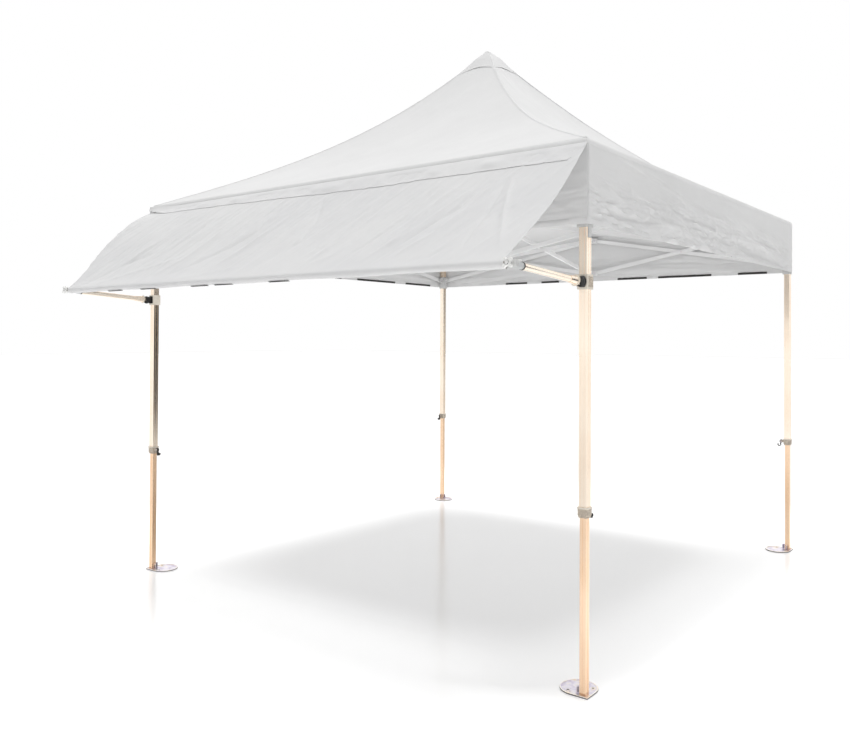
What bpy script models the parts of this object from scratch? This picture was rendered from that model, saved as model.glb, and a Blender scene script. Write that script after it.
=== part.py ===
"""A folding marquee tent, 3 m square, with a pointed roof, valances and a front awning.

Four telescopic legs carry scissor trusses, a centre mast, the fabric cover and, on the
front, an awning sheet held out by a bar on two hinged arms. Lengths are in metres, X runs
along the front, Y towards the back and Z up. The origin is on the ground, at the centre
of the whole tent's plan.
"""

import math

import bmesh
import bpy
from mathutils import Matrix, Vector

# Driving dimensions
ROOF_HALF = 1.500  # half the width over the valances
LEG_CENTRE = 1.476  # from the middle of the tent to a leg's centre, each way
EAVE_Z = 2.230
VALANCE_BOTTOM_Z = 1.889
PEAK_Z = 3.305
ROOF_STRAIGHT = 0.62  # share of the roof's rise that is a straight slope, the rest curves up
FABRIC = 0.002
GAP = 0.0003  # between pieces that touch

# Legs
UPPER_LEG_HALF = 0.019
UPPER_LEG_WALL = 0.002
UPPER_LEG_TOP_Z = 2.185
LOWER_LEG_HALF = 0.015
LOWER_LEG_WALL = 0.002
LOWER_LEG_TOP_Z = 1.020
COLLAR_BOTTOM_Z = 0.711
COLLAR_TOP_Z = 0.753
COLLAR_HALF = 0.0245
COLLAR_SHOULDER_Z = 0.722
LEVER_PIVOT = (0.0, 0.0410, 0.7350)  # from the leg's centre, on the collar's +Y face
LEVER_EYE_RADIUS = 0.0110
LEVER_EYE_HALF = 0.0048  # half its width, between the collar's cheeks
HOOK_CENTRE = (0.0125, -0.0230)  # out and up from the pivot
HOOK_RADIUS = 0.0115
HOOK_THICKNESS = 0.0042
HOOK_HALF = 0.0065

# Foot plates
FOOT_RADIUS = 0.078
FOOT_THICKNESS = 0.004
FOOT_TOE = 0.028  # from the leg's centre to the plate's square edges
PEG_HOLE_RADIUS = 0.0065
UPSTAND_TOP_Z = 0.036

# Trusses
TRUSS_TOP_Z = 2.200
TRUSS_BOTTOM_Z = 1.945
TONGUE_BOTTOM_Z = 1.833  # of the sliding brackets
BAR_HEIGHT = 0.026
BAR_THICKNESS = 0.012
BAR_PLANE = 0.0005  # from the truss's middle plane to a bar's near face
PIN_INSET = 0.045  # from a leg's or the mast's centre to the pin of a bar's end
MID_JOINT_HALF = 0.045
MID_PIN = 0.030  # from the middle of a side to the pins of its bars
CHEEK_INNER = 0.0130
CHEEK_OUTER = 0.0165
CHEEK_HALF_HEIGHT = 0.020
MAST_RADIUS = 0.016
MAST_BOTTOM_Z = 1.895
MAST_TOP_Z = 3.258

# Awning
SHEET_EDGE = (  # distance down the sheet, and half its width there
    (0.0, 1.500),
    (0.34, 1.500),
    (0.52, 1.482),
    (0.66, 1.460),
    (0.71, 1.452),
)
BAR_REACH = 0.555  # from the front legs' centres to the awning bar's centre
AWNING_BAR_Z = 1.690
AWNING_BAR_RADIUS = 0.0125
AWNING_BAR_WALL = 0.0015
AWNING_BAR_HALF = 1.457
SLEEVE_INNER = AWNING_BAR_RADIUS + 0.0006
EAVE_SEAM = 0.004  # from the valance to the sheet's upper end
AWNING_TOP_Z = 2.212
AWNING_BULGE = 0.004
FLAP_LENGTH = 0.095
FLAP_HALF = 1.500
HINGE_FORWARD = 0.047  # from a front leg's centre to the arm's pivot
HINGE_Z = 1.655
ARM_RADIUS = 0.014
ARM_TUBE_END = 0.435  # along the arm, from its pivot
ARM_EYE_RADIUS = 0.013
ARM_EYE_HALF = 0.0062
SOCKET_RADIUS = 0.0195
CLAMP_HALF = 0.025
CLAMP_BOTTOM_Z = 1.625
CLAMP_TOP_Z = 1.685
STAR_REACH = 0.026  # from the awning bar's centre to the front of its star knob
STAR_RADIUS = 0.022
STAR_WIDTH = 0.009  # of one of its four wings
STAR_DEPTH = 0.010

# The plan's middle stands back from the origin by half of what the awning adds
TENT_Y = (BAR_REACH + STAR_REACH - FOOT_TOE) / 2

CORNERS = {"front_right": 0, "back_right": 1, "back_left": 2, "front_left": 3}
SIDES = {"front": 0, "right": 1, "back": 2, "left": 3}
QUARTER = math.pi / 2


def clear_scene():
    for obj in list(bpy.data.objects):
        bpy.data.objects.remove(obj, do_unlink=True)


def new_collection(name):
    made = bpy.data.collections.new(name)
    bpy.context.scene.collection.children.link(made)
    return made


def linear(channel):
    if channel <= 0.04045:
        return channel / 12.92
    return ((channel + 0.055) / 1.055) ** 2.4


def finish(name, colour, roughness, metallic=0.0):
    """A material from an sRGB hex colour."""
    made = bpy.data.materials.new(name)
    made.use_nodes = True
    shader = made.node_tree.nodes["Principled BSDF"]
    channels = [int(colour[i : i + 2], 16) / 255 for i in (0, 2, 4)]
    rgba = [linear(c) for c in channels] + [1.0]
    shader.inputs["Base Color"].default_value = rgba
    shader.inputs["Roughness"].default_value = roughness
    shader.inputs["Metallic"].default_value = metallic
    made.diffuse_color = rgba
    return made


def mesh_from(bm, name="mesh"):
    made = bpy.data.meshes.new(name)
    bm.to_mesh(made)
    bm.free()
    return made


def box(low, high, round_axis=None, round_by=0.0, segments=2):
    """A box between two corners, with the edges along one axis rounded if asked."""
    bm = bmesh.new()
    bmesh.ops.create_cube(bm, size=1.0)
    low, high = Vector(low), Vector(high)
    size = high - low
    for vert in bm.verts:
        vert.co = Vector(c * s for c, s in zip(vert.co, size)) + (low + high) / 2
    if round_axis is not None:
        along = Vector((0, 0, 0))
        along[round_axis] = 1.0
        edges = [
            edge
            for edge in bm.edges
            if abs((edge.verts[0].co - edge.verts[1].co).normalized().dot(along)) > 0.99
        ]
        bmesh.ops.bevel(
            bm, geom=edges, offset=round_by, segments=segments, profile=0.5, affect="EDGES"
        )
    return mesh_from(bm)


def rod(start, end, radius, end_radius=None, segments=16):
    """A round bar or cone between two points."""
    start, end = Vector(start), Vector(end)
    span = end - start
    bm = bmesh.new()
    bmesh.ops.create_cone(
        bm,
        cap_ends=True,
        segments=segments,
        radius1=radius,
        radius2=radius if end_radius is None else end_radius,
        depth=span.length,
    )
    turn = span.to_track_quat("Z", "Y").to_matrix().to_4x4()
    bm.transform(Matrix.Translation((start + end) / 2) @ turn)
    return mesh_from(bm)


def extruded(outlines, low, high, turn=None):
    """Closed flat outlines, holes among them, extruded from low to high along Z."""
    curve = bpy.data.curves.new("outline", "CURVE")
    curve.dimensions = "2D"
    curve.fill_mode = "BOTH"
    curve.extrude = (high - low) / 2
    for outline in outlines:
        spline = curve.splines.new("POLY")
        spline.points.add(len(outline) - 1)
        for point, (x, y) in zip(spline.points, outline):
            point.co = (x, y, 0.0, 1.0)
        spline.use_cyclic_u = True
    guide = bpy.data.objects.new("outline", curve)
    bpy.context.scene.collection.objects.link(guide)
    made = evaluated_mesh(guide)
    bpy.data.objects.remove(guide, do_unlink=True)
    bm = bmesh.new()
    bm.from_mesh(made)
    bmesh.ops.remove_doubles(bm, verts=bm.verts, dist=1e-6)
    bm.transform(Matrix.Translation((0, 0, (low + high) / 2)))
    if turn is not None:
        bm.transform(turn)
    bmesh.ops.recalc_face_normals(bm, faces=bm.faces)
    return mesh_from(bm)


def evaluated_mesh(obj):
    bpy.context.view_layer.update()
    graph = bpy.context.evaluated_depsgraph_get()
    return bpy.data.meshes.new_from_object(obj.evaluated_get(graph))


def combine(base, others, operation):
    """The base mesh united with, cut by or kept inside each of the other meshes."""
    target = bpy.data.objects.new("target", base)
    cutters.objects.link(target)
    for mesh in others:
        tool = bpy.data.objects.new("tool", mesh)
        tool.hide_render = True
        tool.display_type = "WIRE"
        cutters.objects.link(tool)
        boolean = target.modifiers.new("boolean", "BOOLEAN")
        boolean.operation = operation
        boolean.solver = "EXACT"
        boolean.object = tool
        target.data = evaluated_mesh(target)
        target.modifiers.clear()
        bpy.data.objects.remove(tool, do_unlink=True)
    made = target.data
    bpy.data.objects.remove(target, do_unlink=True)
    return made


def fuse(first, *others):
    return combine(first, others, "UNION")


def cut(base, *tools):
    return combine(base, tools, "DIFFERENCE")


def moved(mesh, matrix):
    copy = mesh.copy()
    copy.transform(matrix)
    return copy


def empty(name, parent=None, location=(0, 0, 0), turn=0.0):
    made = bpy.data.objects.new(name, None)
    made.empty_display_size = 0.1
    made.location = location
    made.rotation_euler = (0, 0, turn)
    made.parent = parent
    parts.objects.link(made)
    return made


def piece(name, mesh, material, parent, location=(0, 0, 0), rotation=(0, 0, 0), smooth=False):
    """One named part of the tent. Copies may share their mesh."""
    if not mesh.materials:
        mesh.materials.append(material)
    if smooth:
        mesh.shade_smooth()
        mesh.set_sharp_from_angle(angle=math.radians(35))
    made = bpy.data.objects.new(name, mesh)
    made.location = location
    made.rotation_euler = rotation
    made.parent = parent
    parts.objects.link(made)
    return made


# Legs and feet


def square_outline(half, chamfer=0.0, groove_at=(), groove_half=0.0, groove_depth=0.0):
    """A square's outline, with chamfered corners and grooves across each side."""
    side = [(-half + chamfer, -half)]
    for centre in groove_at:
        side.append((centre - groove_half, -half))
        side.append((centre - groove_half, -half + groove_depth))
        side.append((centre + groove_half, -half + groove_depth))
        side.append((centre + groove_half, -half))
    side.append((half - chamfer, -half))
    points = []
    for quarter in range(4):
        turn = Matrix.Rotation(quarter * QUARTER, 2)
        points += [tuple(turn @ Vector(point)) for point in side]
    if chamfer == 0.0:
        points = [p for i, p in enumerate(points) if i % len(side) != len(side) - 1]
    return points


def upper_leg_mesh():
    outside = square_outline(UPPER_LEG_HALF, 0.0025, (-0.0075, 0.0075), 0.0015, 0.0009)
    inside = square_outline(UPPER_LEG_HALF - UPPER_LEG_WALL)
    return extruded([outside, inside], COLLAR_SHOULDER_Z + GAP, UPPER_LEG_TOP_Z)


def lower_leg_mesh():
    outside = square_outline(LOWER_LEG_HALF, 0.0020, (0.0,), 0.0015, 0.0009)
    inside = square_outline(LOWER_LEG_HALF - LOWER_LEG_WALL)
    return extruded([outside, inside], FOOT_THICKNESS + GAP, LOWER_LEG_TOP_Z)


def collar_mesh():
    """A ring under the upper leg, with a lip on top, a drawn-in foot and two lever cheeks."""
    h = COLLAR_HALF
    lip = box((-h, -h, COLLAR_TOP_Z - 0.007), (h, h, COLLAR_TOP_Z), 2, 0.006)
    b = h - 0.0020
    body = box((-b, -b, COLLAR_BOTTOM_Z + 0.008), (b, b, COLLAR_TOP_Z - 0.005), 2, 0.006)
    f = h - 0.0045
    foot = box((-f, -f, COLLAR_BOTTOM_Z), (f, f, COLLAR_BOTTOM_Z + 0.010), 2, 0.005)
    _, pivot_y, pivot_z = LEVER_PIVOT
    cheeks = [
        box(
            (side * 0.0075 - 0.0018, b - 0.004, pivot_z - 0.007),
            (side * 0.0075 + 0.0018, pivot_y + 0.005, pivot_z + 0.007),
            0,
            0.004,
        )
        for side in (-1, 1)
    ]
    ring = fuse(body, lip, foot, *cheeks)
    upper = UPPER_LEG_HALF + GAP
    lower = LOWER_LEG_HALF + 0.0008
    return cut(
        ring,
        box((-upper, -upper, COLLAR_SHOULDER_Z), (upper, upper, COLLAR_TOP_Z + 0.01)),
        box((-lower, -lower, COLLAR_BOTTOM_Z - 0.01), (lower, lower, COLLAR_SHOULDER_Z + 0.001)),
    )


def arc_points(centre, radius, start, end, steps=14):
    """Points on an arc between two angles in degrees."""
    angles = [math.radians(start + (end - start) * i / steps) for i in range(steps + 1)]
    return [(centre[0] + radius * math.cos(a), centre[1] + radius * math.sin(a)) for a in angles]


def lever_mesh():
    """An S-shaped thumb lever, its origin its pivot: an eye, a neck and a finger hook below."""
    eye = rod((-LEVER_EYE_HALF, 0, 0), (LEVER_EYE_HALF, 0, 0), LEVER_EYE_RADIUS)
    inner = arc_points(HOOK_CENTRE, HOOK_RADIUS - HOOK_THICKNESS, 120, 390)
    hook = arc_points(HOOK_CENTRE, HOOK_RADIUS, 120, 390) + list(reversed(inner))
    upright = Matrix(((0, 0, 1, 0), (1, 0, 0, 0), (0, 1, 0, 0), (0, 0, 0, 1)))
    grip = extruded([hook], -HOOK_HALF, HOOK_HALF, upright)
    y, z = arc_points(HOOK_CENTRE, HOOK_RADIUS - HOOK_THICKNESS / 2, 140, 150, 1)[0]
    half = HOOK_THICKNESS / 2
    strip = [(-half, 0.0), (half, 0.0), (y + half, z), (y - half, z)]
    neck = extruded([strip], -LEVER_EYE_HALF, LEVER_EYE_HALF, upright)
    return fuse(grip, eye, neck)


def foot_outline(steps=24):
    """A round plate with one square corner, at +X -Y, outside the leg."""
    centre = FOOT_TOE - FOOT_RADIUS
    arc = [
        (
            centre + FOOT_RADIUS * math.cos(angle),
            -centre + FOOT_RADIUS * math.sin(angle),
        )
        for angle in (i * 3 * QUARTER / steps for i in range(steps + 1))
    ]
    return arc + [(FOOT_TOE, -FOOT_TOE)]


def foot_mesh():
    """The plate, a plug inside the leg's end, two upstands beside the leg and two peg holes."""
    plate = extruded([foot_outline()], 0.0, FOOT_THICKNESS)
    p = LOWER_LEG_HALF - LOWER_LEG_WALL - 0.0005
    plug = box((-p, -p, FOOT_THICKNESS / 2), (p, p, 0.045))
    near = LOWER_LEG_HALF + 0.0005
    upstands = [
        box((-near - 0.020, -0.0015, FOOT_THICKNESS / 2), (-near, 0.0015, UPSTAND_TOP_Z), 1, 0.006),
        box((-0.0015, near, FOOT_THICKNESS / 2), (0.0015, near + 0.020, UPSTAND_TOP_Z), 0, 0.006),
    ]
    holes = [
        rod((x, y, -0.01), (x, y, 0.02), PEG_HOLE_RADIUS)
        for x, y in ((-0.072, -0.002), (0.002, 0.072))
    ]
    return cut(fuse(plate, plug, *upstands), *holes)


def fork(reach_from, reach_to, z):
    """Two upright cheeks that hold a bar's end. They point along -X."""
    cheeks = []
    for side in (-1, 1):
        near, far = sorted((side * CHEEK_INNER, side * CHEEK_OUTER))
        low = (-reach_to, near, z - CHEEK_HALF_HEIGHT)
        high = (-reach_from, far, z + CHEEK_HALF_HEIGHT)
        cheeks.append(box(low, high))
    return cheeks


def corner_forks(z):
    """Forks towards both neighbouring legs: along -X, and turned to +Y."""
    first = fork(0.0205, PIN_INSET + 0.014, z)
    turn = Matrix.Rotation(-QUARTER, 4, "Z")
    return first + [moved(cheek, turn) for cheek in first]


def top_bracket_mesh():
    outer, inner = 0.0200, 0.0260
    cap = box((-inner, -outer, UPPER_LEG_TOP_Z + GAP), (outer, inner, TRUSS_TOP_Z + 0.0195))
    p = UPPER_LEG_HALF - UPPER_LEG_WALL - 0.0005
    plug = box((-p, -p, UPPER_LEG_TOP_Z - 0.040), (p, p, UPPER_LEG_TOP_Z + 0.004))
    return fuse(cap, plug, *corner_forks(TRUSS_TOP_Z))


def slider_mesh():
    """A ring round the upper leg with two forks, and a tongue down the leg's outer face."""
    outer, inner = 0.0215, 0.0265
    ring = box((-inner, -outer, TRUSS_BOTTOM_Z - 0.070), (outer, inner, TRUSS_BOTTOM_Z + 0.030))
    tongue = box((0.0197, -0.0140, TONGUE_BOTTOM_Z), (outer, 0.0140, TRUSS_BOTTOM_Z - 0.060))
    hole = UPPER_LEG_HALF + 0.0005
    bore = box((-hole, -hole, TONGUE_BOTTOM_Z), (hole, hole, TRUSS_TOP_Z))
    return cut(fuse(ring, tongue, *corner_forks(TRUSS_BOTTOM_Z)), bore)


# Trusses and mast


def scissor_bar(start, end, side):
    """A flat bar with round ends in an XZ plane, on one side of the truss's middle plane."""
    start, end = Vector(start), Vector(end)
    span = end - start
    half = BAR_HEIGHT / 2
    low = BAR_PLANE if side > 0 else -BAR_PLANE - BAR_THICKNESS
    bar = box(
        (-half, low, -half), (span.length + half, low + BAR_THICKNESS, half), 1, half * 0.98, 4
    )
    angle = math.atan2(span.y, span.x)
    turn = Matrix.Rotation(-angle, 4, "Y")
    return moved(bar, Matrix.Translation((start.x, 0, start.y)) @ turn)


def pivot_pin(x, z):
    reach = BAR_PLANE + BAR_THICKNESS + 0.002
    return rod((x, -reach, z), (x, reach, z), 0.007, segments=12)


def side_truss_mesh():
    """One side's two crossed pairs of bars and its two middle joints, about y = 0."""
    leg_pin = LEG_CENTRE - PIN_INSET
    solids = []
    for side in (-1, 1):
        top, bottom = (side * leg_pin, TRUSS_TOP_Z), (side * leg_pin, TRUSS_BOTTOM_Z)
        mid_top, mid_bottom = (side * MID_PIN, TRUSS_TOP_Z), (side * MID_PIN, TRUSS_BOTTOM_Z)
        ends = [(top, mid_bottom, 1), (bottom, mid_top, -1)]
        for outer_end, mid_end, plane in ends:
            first, second = sorted((outer_end, mid_end))
            solids.append(scissor_bar(first, second, plane))
        solids.append(
            pivot_pin(side * (leg_pin + MID_PIN) / 2, (TRUSS_TOP_Z + TRUSS_BOTTOM_Z) / 2)
        )
    for z in (TRUSS_TOP_Z, TRUSS_BOTTOM_Z):
        block = box(
            (-MID_JOINT_HALF, -CHEEK_OUTER, z - CHEEK_HALF_HEIGHT + 0.001),
            (MID_JOINT_HALF, CHEEK_OUTER, z + CHEEK_HALF_HEIGHT - 0.001),
        )
        turn = Matrix.Rotation(-QUARTER, 4, "Z")
        cheeks = [moved(cheek, turn) for cheek in fork(0.012, 0.052, z)]
        solids.append(fuse(block, *cheeks))
    return fuse(solids[-2], solids[-1], *solids[:-2])


def centre_truss_mesh():
    """One crossed pair from the front side's middle, at x = -1, to the mast, at x = 0."""
    near, far = -PIN_INSET, -(LEG_CENTRE - 0.036)
    return fuse(
        scissor_bar((far, TRUSS_TOP_Z), (near, TRUSS_BOTTOM_Z), 1),
        pivot_pin((near + far) / 2, (TRUSS_TOP_Z + TRUSS_BOTTOM_Z) / 2),
        scissor_bar((far, TRUSS_BOTTOM_Z), (near, TRUSS_TOP_Z), -1),
    )


def hub_mesh(z):
    h = 0.027
    block = box((-h, -h, z - CHEEK_HALF_HEIGHT - 0.002), (h, h, z + CHEEK_HALF_HEIGHT + 0.002))
    cheeks = []
    for quarter in range(4):
        turn = Matrix.Rotation(quarter * QUARTER, 4, "Z")
        cheeks += [moved(cheek, turn) for cheek in fork(h - 0.004, PIN_INSET + 0.014, z)]
    bore = rod((0, 0, z - 0.1), (0, 0, z + 0.1), MAST_RADIUS + 0.0005, segments=24)
    return cut(fuse(block, *cheeks), bore)


def mast_mesh():
    """A turned pole with a foot knob below the lower hub and a domed cap under the peak."""
    profile = [
        (0.0, MAST_TOP_Z),
        (0.014, MAST_TOP_Z - 0.004),
        (0.024, MAST_TOP_Z - 0.018),
        (0.024, MAST_TOP_Z - 0.040),
        (MAST_RADIUS, MAST_TOP_Z - 0.044),
        (MAST_RADIUS, MAST_BOTTOM_Z + 0.022),
        (0.021, MAST_BOTTOM_Z + 0.020),
        (0.021, MAST_BOTTOM_Z + 0.006),
        (0.015, MAST_BOTTOM_Z),
        (0.0, MAST_BOTTOM_Z),
    ]
    return turned(profile, 20)


def turned(profile, steps, turn=None):
    """An open or closed profile of radius and height, turned round Z by a Screw modifier."""
    bm = bmesh.new()
    verts = [bm.verts.new((radius, 0, z)) for radius, z in profile]
    for first, second in zip(verts, verts[1:]):
        bm.edges.new((first, second))
    guide = bpy.data.objects.new("profile", mesh_from(bm))
    cutters.objects.link(guide)
    screw = guide.modifiers.new("turn", "SCREW")
    screw.steps = screw.render_steps = steps
    screw.use_merge_vertices = True
    screw.merge_threshold = 0.0001
    made = evaluated_mesh(guide)
    bpy.data.objects.remove(guide, do_unlink=True)
    if turn is not None:
        made.transform(turn)
    return made


# Cover


def roof_height(half_width):
    """The roof's height where it is half_width from the middle, steeper towards the peak."""
    share = 1 - half_width / ROOF_HALF
    curve = ROOF_STRAIGHT * share + (1 - ROOF_STRAIGHT) * share**3
    return EAVE_Z + (PEAK_Z - EAVE_Z) * curve


def roof_panel_mesh(rows=14):
    """The front quarter of a four-sided turned shell, cut out along its hips."""
    corner = math.sqrt(2)
    profile = [
        (ROOF_HALF * corner * i / rows, roof_height(ROOF_HALF * i / rows))
        for i in range(rows + 1)
    ]
    shell = turned(profile, 4, Matrix.Rotation(QUARTER / 2, 4, "Z"))
    guide = bpy.data.objects.new("shell", shell)
    cutters.objects.link(guide)
    solidify = guide.modifiers.new("fabric", "SOLIDIFY")
    solidify.thickness = FABRIC
    solidify.offset = -1.0
    solidify.use_even_offset = True
    cover = evaluated_mesh(guide)
    bpy.data.objects.remove(guide, do_unlink=True)
    far = ROOF_HALF + 0.1
    wedge = extruded([[(0, -GAP), (-far, -far - GAP), (far, -far - GAP)]], 2.0, 3.5)
    return combine(cover, [wedge], "INTERSECT")


def valance_mesh():
    """One side's valance, which meets the next side's at the corner edge to face."""
    return box(
        (-ROOF_HALF, -ROOF_HALF, VALANCE_BOTTOM_Z),
        (ROOF_HALF - FABRIC - GAP, -ROOF_HALF + FABRIC, EAVE_Z - FABRIC - GAP),
    )


# Awning, in the plane of the sheet's outline: first -Y, then Z


def awning_bar_centre():
    return Vector((LEG_CENTRE + BAR_REACH, AWNING_BAR_Z))


def sheet_axes():
    """The sheet's length, and unit directions up along it and out of it, from the awning bar."""
    line = Vector((ROOF_HALF + EAVE_SEAM, AWNING_TOP_Z)) - awning_bar_centre()
    up = line.normalized()
    return line.length, up, Vector((up.y, -up.x))


def sheet_line(offset, start, end, steps=20):
    """Points up along the sheet, bulging outwards, this far out from the sleeve's inner face."""
    length, up, out = sheet_axes()
    points = []
    for i in range(steps + 1):
        share = start + (end - start) * i / steps
        lift = SLEEVE_INNER + offset + AWNING_BULGE * math.sin(math.pi * share) ** 2
        points.append(awning_bar_centre() + up * length * share + out * lift)
    return points


def across(outlines, half):
    """Outlines drawn as forward and up, extruded along X."""
    turn = Matrix(((0, 0, 1, 0), (-1, 0, 0, 0), (0, 1, 0, 0), (0, 0, 0, 1)))
    return extruded(outlines, -half, half, turn)


def sheet_half(down):
    """Half the sheet's width at a distance down from its upper end."""
    for (start, wide), (end, narrow) in zip(SHEET_EDGE, SHEET_EDGE[1:]):
        if down < end:
            return wide + (narrow - wide) * max(down - start, 0.0) / (end - start)
    return SHEET_EDGE[-1][1]


def awning_sheet_mesh(steps=20):
    """The sloping sheet with a sleeve round the bar, cut away at the ends for the elbows."""
    _, up, out = sheet_axes()
    centre = awning_bar_centre()
    outer = SLEEVE_INNER + FABRIC
    meet = math.acos(SLEEVE_INNER / outer)
    loop = []
    for i in range(steps + 1):
        angle = (2 * math.pi - meet) * i / steps
        loop.append(centre + out * outer * math.cos(angle) - up * outer * math.sin(angle))
    outline = list(reversed(sheet_line(FABRIC, 0.02, 1.0))) + loop + sheet_line(0.0, 0.04, 1.0)
    bore = SLEEVE_INNER * 0.985
    hole = [
        centre + out * bore * math.cos(angle) + up * bore * math.sin(angle)
        for angle in (2 * math.pi * i / steps for i in range(steps))
    ]
    sheet = across([outline, hole], 1.0)
    length, _, _ = sheet_axes()
    for vert in sheet.vertices:
        along = (Vector((-vert.co.y, vert.co.z)) - centre).dot(up)
        vert.co.x *= sheet_half(length - along)
    return sheet


def flap_mesh():
    """The strip sewn to the eave, lying over the top of the awning sheet."""
    length, _, _ = sheet_axes()
    share = 1 - FLAP_LENGTH / length
    lower = sheet_line(FABRIC + 3 * GAP, share, 1.0, 4)
    upper = sheet_line(2 * FABRIC + 3 * GAP, share, 1.0, 4)
    return across([lower + list(reversed(upper))], FLAP_HALF)


def awning_bar_mesh(steps=20):
    angles = [2 * math.pi * i / steps for i in range(steps)]
    rings = [
        [(radius * math.cos(angle), radius * math.sin(angle)) for angle in angles]
        for radius in (AWNING_BAR_RADIUS, AWNING_BAR_RADIUS - AWNING_BAR_WALL)
    ]
    return extruded(rings, -AWNING_BAR_HALF, AWNING_BAR_HALF, Matrix.Rotation(QUARTER, 4, "Y"))


def arm_mesh():
    """An arm along -Y from its pivot: an eye, a neck, a flared socket and a round tube."""
    eye = rod((-ARM_EYE_HALF, 0, 0), (ARM_EYE_HALF, 0, 0), ARM_EYE_RADIUS)
    neck = box((-ARM_EYE_HALF, -0.040, -0.010), (ARM_EYE_HALF, -0.002, 0.010))
    socket = rod((0, -0.032, 0), (0, -0.090, 0), SOCKET_RADIUS, 0.0152, segments=20)
    tube = rod((0, -0.080, 0), (0, -ARM_TUBE_END, 0), ARM_RADIUS, segments=20)
    return fuse(socket, tube, neck, eye)


def elbow_mesh(side):
    """The fitting between an arm's tube and the bar's end, with a star knob in front."""
    reach = (Vector((BAR_REACH - HINGE_FORWARD, AWNING_BAR_Z - HINGE_Z))).length
    start = AWNING_BAR_HALF + GAP - LEG_CENTRE
    stub = rod((0, -ARM_TUBE_END - GAP, 0), (0, -reach, 0), 0.0110)
    plug = rod((side * start, -reach, 0), (side * 0.026, -reach, 0), AWNING_BAR_RADIUS)
    front = -reach - STAR_REACH + 0.001
    stalk = rod((0, -reach, 0), (0, front, 0), 0.0060, segments=12)
    half = STAR_WIDTH / 2
    wings = []
    for angle in (45, 135, 225, 315):
        wing = box((-half, front, 0), (half, front + STAR_DEPTH, STAR_RADIUS), 1, half * 0.93)
        wings.append(moved(wing, Matrix.Rotation(math.radians(angle), 4, "Y")))
    return fuse(stub, plug, stalk, *wings)


def clamp_mesh():
    """A ring clamped on the front leg's upper tube, with a flat front pad."""
    h = CLAMP_HALF
    ring = box((-h, -h, CLAMP_BOTTOM_Z), (h, h, CLAMP_TOP_Z), 2, 0.005)
    hole = UPPER_LEG_HALF + GAP
    bore = box((-hole, -hole, CLAMP_BOTTOM_Z - 0.01), (hole, hole, CLAMP_TOP_Z + 0.01))
    return cut(ring, bore)


def knuckle_mesh():
    """The black fork that the arm's eye turns in, on the clamp's front, with a hand knob."""
    face = -CLAMP_HALF - GAP
    base = box((-0.0150, face - 0.006, HINGE_Z - 0.022), (0.0150, face, HINGE_Z + 0.022), 1, 0.006)
    cheeks = []
    for side in (-1, 1):
        low, high = sorted((side * 0.0070, side * 0.0125))
        arm = box((low, -HINGE_FORWARD, HINGE_Z - 0.016), (high, face - 0.003, HINGE_Z + 0.016))
        disc = rod(
            (side * 0.0072, -HINGE_FORWARD, HINGE_Z), (side * 0.0135, -HINGE_FORWARD, HINGE_Z), 0.019
        )
        cheeks += [arm, disc]
    return fuse(base, *cheeks)


# Assembly


def build_leg(name, turn):
    reach = math.sqrt(2) * LEG_CENTRE
    angle = turn * QUARTER - QUARTER / 2
    where = (reach * math.cos(angle), reach * math.sin(angle), 0)
    corner = empty("corner_" + name, tent, where, turn * QUARTER)
    piece("upper_leg_" + name, meshes["upper_leg"], champagne, corner)
    piece("lower_leg_" + name, meshes["lower_leg"], champagne_pale, corner)
    piece("lock_collar_" + name, meshes["collar"], beige_plastic, corner)
    piece("lock_lever_" + name, meshes["lever"], black_plastic, corner, LEVER_PIVOT)
    piece("foot_plate_" + name, meshes["foot"], zinc_steel, corner)
    piece("top_bracket_" + name, meshes["top_bracket"], grey_plastic, corner)
    piece("slider_bracket_" + name, meshes["slider"], grey_plastic, corner)


def build_side(name, turn):
    about = empty("side_" + name, tent, (0, 0, 0), turn * QUARTER)
    piece("side_truss_" + name, meshes["side_truss"], silver_bar, about, (0, -LEG_CENTRE, 0))
    piece(
        "centre_truss_" + name,
        meshes["centre_truss"],
        silver_bar,
        about,
        rotation=(0, 0, QUARTER),
    )
    piece("roof_panel_" + name, meshes["roof_panel"], roof_fabric, about)
    piece("valance_" + name, meshes["valance"], roof_fabric, about)


def build_awning():
    piece("awning_sheet", awning_sheet_mesh(), awning_fabric, tent)
    piece("awning_flap", flap_mesh(), awning_fabric, tent)
    hinge = empty("awning_hinge", tent, (0, -LEG_CENTRE - HINGE_FORWARD, HINGE_Z))
    bar_at = (0, HINGE_FORWARD - BAR_REACH, AWNING_BAR_Z - HINGE_Z)
    piece("awning_bar", awning_bar_mesh(), champagne, hinge, bar_at, smooth=True)
    turn = (-math.atan2(AWNING_BAR_Z - HINGE_Z, BAR_REACH - HINGE_FORWARD), 0, 0)
    arm = arm_mesh()
    clamp = clamp_mesh()
    knuckle = knuckle_mesh()
    for name, side in (("right", 1), ("left", -1)):
        pivot = (side * LEG_CENTRE, 0, 0)
        leg = (side * LEG_CENTRE, -LEG_CENTRE, 0)
        piece("awning_arm_" + name, arm, champagne, hinge, pivot, turn, smooth=True)
        piece("bar_elbow_" + name, elbow_mesh(side), white_plastic, hinge, pivot, turn, smooth=True)
        piece("leg_clamp_" + name, clamp, beige_plastic, tent, leg)
        piece("hinge_knuckle_" + name, knuckle, black_plastic, tent, leg)


clear_scene()
parts = new_collection("marquee_tent")
cutters = new_collection("cutters")
cutters.hide_render = True

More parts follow.
